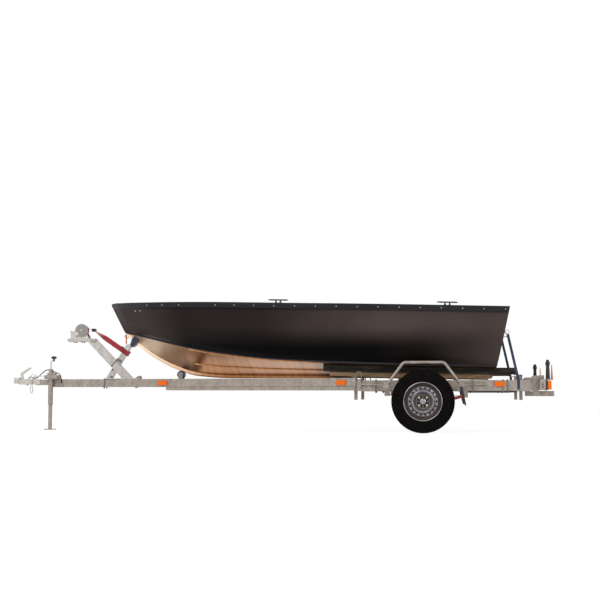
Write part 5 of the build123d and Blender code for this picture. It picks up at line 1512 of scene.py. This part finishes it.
# Keel roller: a blue polyurethane roller, waisted for the keel bar, turning on a steel pin
# between two galvanised cheeks.
# Cast polyurethane: a clear strong blue with a soft sheen.
blue_rubber = mottled_finish(
    "blue_polyurethane", ("#0C225E", "#17398E"), 25.0, 0.8, 0.05, (0.35, 0.5),
)
roller_low, roller_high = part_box("keel_roller")
roller_centre = (Vector(roller_low) + Vector(roller_high)) / 2 / mm
roller_profile = [
    (8.6, -40.0), (20.0, -40.0), (34.0, -39.5), (37.0, -36.5), (37.0, -27.0), (35.5, -22.0),
    (32.5, -16.0), (31.5, 0.0), (32.5, 16.0), (35.5, 22.0), (37.0, 27.0), (37.0, 36.5),
    (34.0, 39.5), (20.0, 40.0), (8.6, 40.0), (8.6, -40.0),
]
roller = turned("keel_roller_tyre", roller_profile, roller_centre, (0, 1, 0), 48)
smooth(roller)
finish_piece(roller, blue_rubber, replaced=["keel_roller"])


# Jack: a clamp on the drawbar holds its tube; a screw inside, turned by the cranked rod with
# its mushroom knob, pushes the leg down.
jack_x, jack_y, crank_throw = -2268.0, -72.0, 30.0
clamp_low, clamp_high = (-2328.0, -104.0, 508.3), (-2193.0, 30.0, 549.0)
clamp = block("jack_clamp", clamp_low, clamp_high, 5.0)
clamp_bore = turned("clamp_bore", [
    (0.0, -10.0), (23.9, -10.0), (23.9, 60.0), (0.0, 60.0),
], (jack_x, jack_y, clamp_low[2]), (0, 0, 1), 48)
modify(clamp, "BOOLEAN", object=clamp_bore, operation="DIFFERENCE", solver="EXACT")
bpy.data.objects.remove(clamp_bore)
smooth(clamp)
finish_piece(clamp, dipped_zinc)
tube_profile = [
    (19.6, 250.0), (23.2, 250.0), (24.0, 250.8), (24.0, 549.0), (34.0, 549.2), (36.0, 551.0),
    (36.0, 568.0), (34.5, 570.5), (23.0, 571.0), (22.0, 572.0), (22.0, 605.0), (18.0, 610.0),
    (8.0, 611.0), (0.0, 611.0), (0.0, 566.0), (19.6, 566.0), (19.6, 250.0),
]
tube = turned("jack_outer_tube", tube_profile, (jack_x, jack_y, 0.0), (0, 0, 1), 48)
smooth(tube)
finish_piece(tube, dipped_zinc, replaced=["jack_tube"])
crank = bent_rod("jack_crank", [
    (jack_x, jack_y, 605.0), (jack_x, jack_y, 690.0),
    (jack_x + crank_throw, jack_y, 690.0), (jack_x + crank_throw, jack_y, 716.0),
], 6.5, 12.0)
finish_piece(crank, plated_zinc)
knob = turned("jack_knob", [
    (0.0, -24.0), (9.0, -24.0), (9.5, -6.0), (12.0, 0.0), (24.0, 4.0), (28.0, 9.0), (28.0, 15.0),
    (24.5, 21.0), (15.0, 26.0), (0.0, 28.5),
], (jack_x + crank_throw, jack_y, 712.0), (0, 0, 1), 36)
smooth(knob, 50.0)
finish_piece(knob, matt_black_plastic)


# Side markers and reflectors: amber acrylic with moulded ribs, screwed to the frame's sides,
# and red prismatic triangles edge-on at the tail.
def ribbed_lens(name, colours, rib, direction):
    material, tree, shader, place = start_material(name)
    ribs = add_node(tree, "ShaderNodeTexWave", {
        "wave_type": "BANDS", "bands_direction": direction, "Scale": 1 / (rib * mm) / wave_turn,
    }, {"Vector": place})
    shades = add_node(tree, "ShaderNodeMixRGB", {
        "Color1": from_hex(colours[0]), "Color2": from_hex(colours[1]),
    }, {"Fac": ribs.outputs["Fac"]})
    tree.links.new(shades.outputs[0], shader.inputs["Base Color"])
    relief = add_node(tree, "ShaderNodeBump", {"Distance": 0.8 * mm}, {
        "Height": ribs.outputs["Fac"],
    })
    tree.links.new(relief.outputs[0], shader.inputs["Normal"])
    shader.inputs["Roughness"].default_value = 0.3
    shader.inputs["Specular IOR Level"].default_value = 0.25
    return material


amber_lens = ribbed_lens("amber_acrylic_lens", ("#D84E00", "#FA7A00"), 6.0, "X")
dress("side_markers", amber_lens, 3.0)
red_prisms = ribbed_lens("red_prismatic_acrylic", ("#A80E1A", "#E0404A"), 5.0, "Z")
dress("triangles", red_prisms, 1.0)


# Tail lamps: a black moulded base bolted behind the rear bar, with amber and red lenses; and
# rubber stalk lamps that stand out past the wheels.
lamp_x, lamp_lens_x, lamp_end_x = 2589.4, 2604.0, 2640.5
lamp_z, lens_z = (390.0, 484.5), (397.0, 477.5)
lens_x = (lamp_lens_x, lamp_end_x)
base_y, amber_y, red_y = (600.0, 817.0), (742.0, 812.0), (606.0, 740.0)
red_lens = ribbed_lens("red_acrylic_lens", ("#96040C", "#D8121A"), 6.0, "Y")
for side_name, side in sides:
    def lamp_box(name, x, y, z, edge):
        y = sorted((side * y[0], side * y[1]))
        return block(f"{name}_{side_name}", (x[0], y[0], z[0]), (x[1], y[1], z[1]), edge)

    base = lamp_box("lamp_base", (lamp_x, lamp_lens_x + 1), base_y, lamp_z, 3.0)
    finish_piece(base, matt_black_plastic, replaced=["tail_lamps"])
    amber = lamp_box("lamp_amber_lens", lens_x, amber_y, lens_z, 8.0)
    finish_piece(amber, amber_lens)
    red = lamp_box("lamp_red_lens", lens_x, red_y, lens_z, 8.0)
    finish_piece(red, red_lens)
dress("stalk_lamps", sheet_rubber, 1.0)


# Tie-down straps: navy polyester webbing from a steel hook in each transom eye, taut down to
# the rail and round its outer face.
def ring_of(name, centre, axis, radius, rod, stretch=1.0):
    # A closed ring of round rod, stretched upright where it is an oval
    steps, round_steps = 36, 12
    axis = Vector(axis).normalized()
    side = Vector((0, 0, 1)) if abs(axis.z) < 0.5 else Vector((1, 0, 0))
    other = axis.cross(side)

    def place_of(column, row):
        turn = 2 * math.pi * column / steps
        roll = 2 * math.pi * row / round_steps
        ray = side * math.cos(turn) * stretch + other * math.sin(turn)
        out = (side * math.cos(turn) + other * math.sin(turn)).normalized()
        middle = Vector(centre) + ray * radius
        return (middle + out * rod * math.cos(roll) + axis * rod * math.sin(roll)) * mm

    piece = shaped_grid(name, steps, round_steps, place_of)
    close_up(piece)
    smooth(piece, 60.0)
    return piece


tie_width, tie_thick, tie_y = 25.0, 2.2, 611.6
tie_steps, foot_steps = 16, 6
tie_top, tie_bend, tie_foot_z = (2268.0, 908.0), (2360.0, 485.0), 399.0
for side_name, side in sides:
    line = []
    for i in range(tie_steps + 1):
        line.append(Vector(tie_top).lerp(Vector(tie_bend), i / tie_steps))
    for i in range(1, foot_steps + 1):
        line.append((tie_bend[0], tie_bend[1] + (tie_foot_z - tie_bend[1]) * i / foot_steps))
    line = [(Vector((x, side * tie_y, z)), Vector((1, 0, 0))) for x, z in line]
    woven_strap(
        f"tie_strap_{side_name}", line, tie_width, tie_thick, navy_webbing,
        ["tie_straps"],
    )
    hook = ring_of(f"tie_ring_{side_name}", (2264.0, side * tie_y, 926.0), (0, 1, 0), 19.0, 3.2)
    finish_piece(hook, plated_zinc)


# Frame fastenings: zinc-plated U-bolts, nuts and bolts that clamp the posts, the outriggers and
# the beams to each other. Threads show under the nuts; the drawbar's seam is a weld line.
def hex_bolt(centre, axis, across=14.0, height=7.0):
    # A hexagon head on its round washer
    half = across / 2 / math.cos(math.pi / 6)
    washer = turned("washer", [
        (0.0, -0.4), (across * 0.85, -0.4), (across * 0.85, 1.6), (0.0, 1.6),
    ], centre, axis, 20)
    head = turned("head", [
        (0.0, 1.0), (half, 1.0), (half, height - 1.0), (half * 0.85, height), (0.0, height),
    ], centre, axis, 6)
    return [washer, head]


def u_bolt(x, y_pair, z_over, z_under, rod=5.0):
    # A bent rod over a tube, with a nut on each leg under it
    near, far = y_pair
    legs = bent_rod("u_bolt", [
        (x, near, z_under - 18), (x, near, z_over + rod), (x, far, z_over + rod),
        (x, far, z_under - 18),
    ], rod, 9.0)
    pieces = [legs]
    for y in y_pair:
        pieces += hex_bolt((x, y, z_under), (0, 0, -1), 15.0, 9.0)
    return pieces


# Zinc plating after some years outside: grey and half dull.
fastener_zinc = zinc_dip("weathered_fastener_zinc", ("#625D59", "#8B857F"), 3.0, (0.35, 0.5), 0.7)
beam_top, beam_low = 508.0, 428.0
rail_top, rail_low, rail_outer, rail_inner = 485.0, 385.0, 610.0, 550.0
outrigger_out, hoop_y = 641.0, 616.0
fastenings = u_bolt(-1718.0, (-46.0, 46.0), beam_top, beam_low)
for y in (-22.0, 22.0):
    fastenings += hex_bolt((-1396.0, y, beam_low), (0, 0, -1), 16.0, 9.0)
for x, z in ((-1640.0, 604.0), (-1651.0, 531.0)):
    fastenings += hex_bolt((x, -25.0, z), (0, -1, 0), 13.0, 6.0)
for x, z in ((-1586.0, 706.0), (-1562.0, 690.0)):
    fastenings += hex_bolt((x, -35.2, z), (0, -1, 0), 15.0, 8.0)
fastenings.append(bent_rod("post_clamp_rod", [
    (-1652.0, -38.0, 634.0), (-1590.0, -38.0, 708.0),
], 4.5, 5.0))
for x in (-2042.0, -1958.0):
    for y in (-34.0, 34.0):
        fastenings += hex_bolt((x, y, 886.0), (0, 0, -1), 14.0, 9.0)
for side_name, side in sides:
    for x in (1054.0, 1942.0):
        fastenings += u_bolt(x, (side * outrigger_out, side * (rail_inner - 6)), rail_top, rail_low)
    for x in (2221.0, 2261.0):
        legs = (side * (rail_outer + 6), side * (rail_inner - 6))
        fastenings += u_bolt(x, legs, rail_top, rail_low)
    fastenings.append(bent_rod("post_hoop", [
        (868.0, side * hoop_y, 400.0), (868.0, side * hoop_y, 562.0),
        (920.0, side * hoop_y, 562.0), (920.0, side * hoop_y, 400.0),
    ], 5.0, 22.0))
frame_fastenings = join_as("frame_fastenings", fastenings)
finish_piece(frame_fastenings, fastener_zinc)
seam = bent_rod("drawbar_weld_seam", [(-2150.0, -40.0, 447.0), (-1640.0, -40.0, 447.0)], 1.6, 2.0)
finish_piece(seam, dipped_zinc)


# Plates and brackets: pressed and dipped like the frame. The winch table's head, the stop's
# clamp, the stand's shoe, the jack's lug, the lamp bar's ends and its side brackets.
plates = [block("winch_table_head", (-1866.0, -48.0, 884.0), (-1812.0, 48.0, 911.0), 2.5)]
stop_along, stop_across = Vector((0.511, 0.86)), Vector((0.86, -0.511))
stop_centre = Vector((-1432.0, 862.0))
plates.append(prism("stop_clamp", [
    stop_centre + stop_along * a + stop_across * b
    for a, b in ((22, 27), (22, -27), (-22, -27), (-22, 27))
], -31.0, 31.0))
plates.append(prism("stand_shoe", [
    (-1420.0, 508.2), (-1420.0, 513.0), (-1398.0, 522.0), (-1372.0, 540.0), (-1352.0, 540.0),
    (-1352.0, 508.2),
], -38.0, 38.0))
plates.append(block("jack_lug", (-2238.0, -102.0, 546.0), (-2211.0, -50.0, 583.0), 7.0))
bar_end, bracket_y, bracket_half = (816.0, 820.0), 583.0, 24.0
for side_name, side in sides:
    low_y, high_y = sorted((side * bar_end[0], side * bar_end[1]))
    plates.append(block("lamp_bar_end", (2539.5, low_y, 393.5), (2588.5, high_y, 484.5), 1.0))
    plates.append(prism("side_bracket", [
        (2452.0, 485.3), (2488.0, 524.0), (2592.0, 529.0), (2592.0, 485.3),
    ], side * bracket_y - bracket_half, side * bracket_y + bracket_half, 3.0))
plates_joined = join_as("frame_plates", plates)
finish_piece(plates_joined, dipped_zinc)
hole_plugs = []
for side_name, side in sides:
    for z in (444.0, 419.0):
        hole_plugs.append(domed_head((2562.0, side * 819.8, z), (0, side, 0), 8.0, 1.5))
plugs = join_as("lamp_bar_hole_plugs", hole_plugs)
smooth(plugs)
finish_piece(plugs, matt_black_plastic)


# Winch trim: the gear's hub and the pinion's boss, turned from bar, and the pawl's lug, cut
# from plate. They stand on the outer face of the near cheek.
trim_parts = [
    turned("gear_hub", [
        (0.0, -59.5), (11.0, -59.0), (11.0, -56.0), (17.0, -52.0), (17.0, -49.0), (0.0, -49.0),
    ], (drum_x, 0.0, drum_z), (0, 1, 0), 28),
    turned("pinion_boss", [
        (0.0, -62.5), (10.0, -62.0), (10.0, -56.0), (20.0, -54.0), (24.0, -50.0), (22.0, -48.0),
        (0.0, -48.0),
    ], (-2017.0, 0.0, 960.0), (0, 1, 0), 24),
    prism("pawl_lug", [(-2082.0, 985.0), (-2078.0, 1006.0), (-2068.0, 1008.0), (-2050.0, 978.0)],
          -46.0, -40.0, 1.5),
]
winch_trim = join_as("winch_trim", trim_parts)
smooth(winch_trim)
finish_piece(winch_trim, stainless)


# Breakaway cable: thin steel rope that hangs from the jack's clamp to the coupling, with coils
# of slack and a spring hook on its free end.
rope = [bent_rod("rope", [
    (-2312.0, -46.0, 552.0), (-2366.0, -48.0, 532.0), (-2424.0, -49.0, 536.0),
    (-2474.0, -49.0, 520.0), (-2477.0, -49.0, 448.0),
], 2.6, 24.0)]
for x, z, radius in ((-2437.0, 538.0, 15.0), (-2468.0, 541.0, 17.0)):
    rope.append(ring_of("coil", (x, -50.0, z), (0.2, 1.0, 0.1), radius, 2.8))
rope.append(ring_of("spring_hook", (-2477.0, -49.0, 405.0), (0, 1, 0), 13.0, 4.2, 2.9))
cable = join_as("breakaway_cable", rope)
finish_piece(cable, stainless)


# Side harness: the lamps' wiring in black PVC conduit. It is clipped under each side rail, near
# the outer edge, from behind the wheel towards the tail.
for side_name, side in sides:
    conduit = bent_rod(f"wiring_conduit_{side_name}", [
        (1888.0, side * 596.0, 377.5), (2345.0, side * 596.0, 377.5),
    ], 7.0, 5.0)
    finish_piece(conduit, cable_sheath)


# Bow rivets: two bright aluminium dome heads a side, high on the bow, that hold the sheet to
# the stiffener behind it.
bow_rivets = []
bow_rivet_radius, bow_rivet_height = 7.5, 3.5
for side_name, side in sides:
    for x, y, z in ((-1339.6, 281.4, 1176.0), (-1282.2, 326.6, 1176.0)):
        bow_rivets.append(domed_head(
            (x, side * y, z), (-0.35, side * 0.9, 0.05), bow_rivet_radius, bow_rivet_height,
        ))
bow_heads = join_as("bow_rivets", bow_rivets)
smooth(bow_heads, 60.0)
finish_piece(bow_heads, rivet_metal)
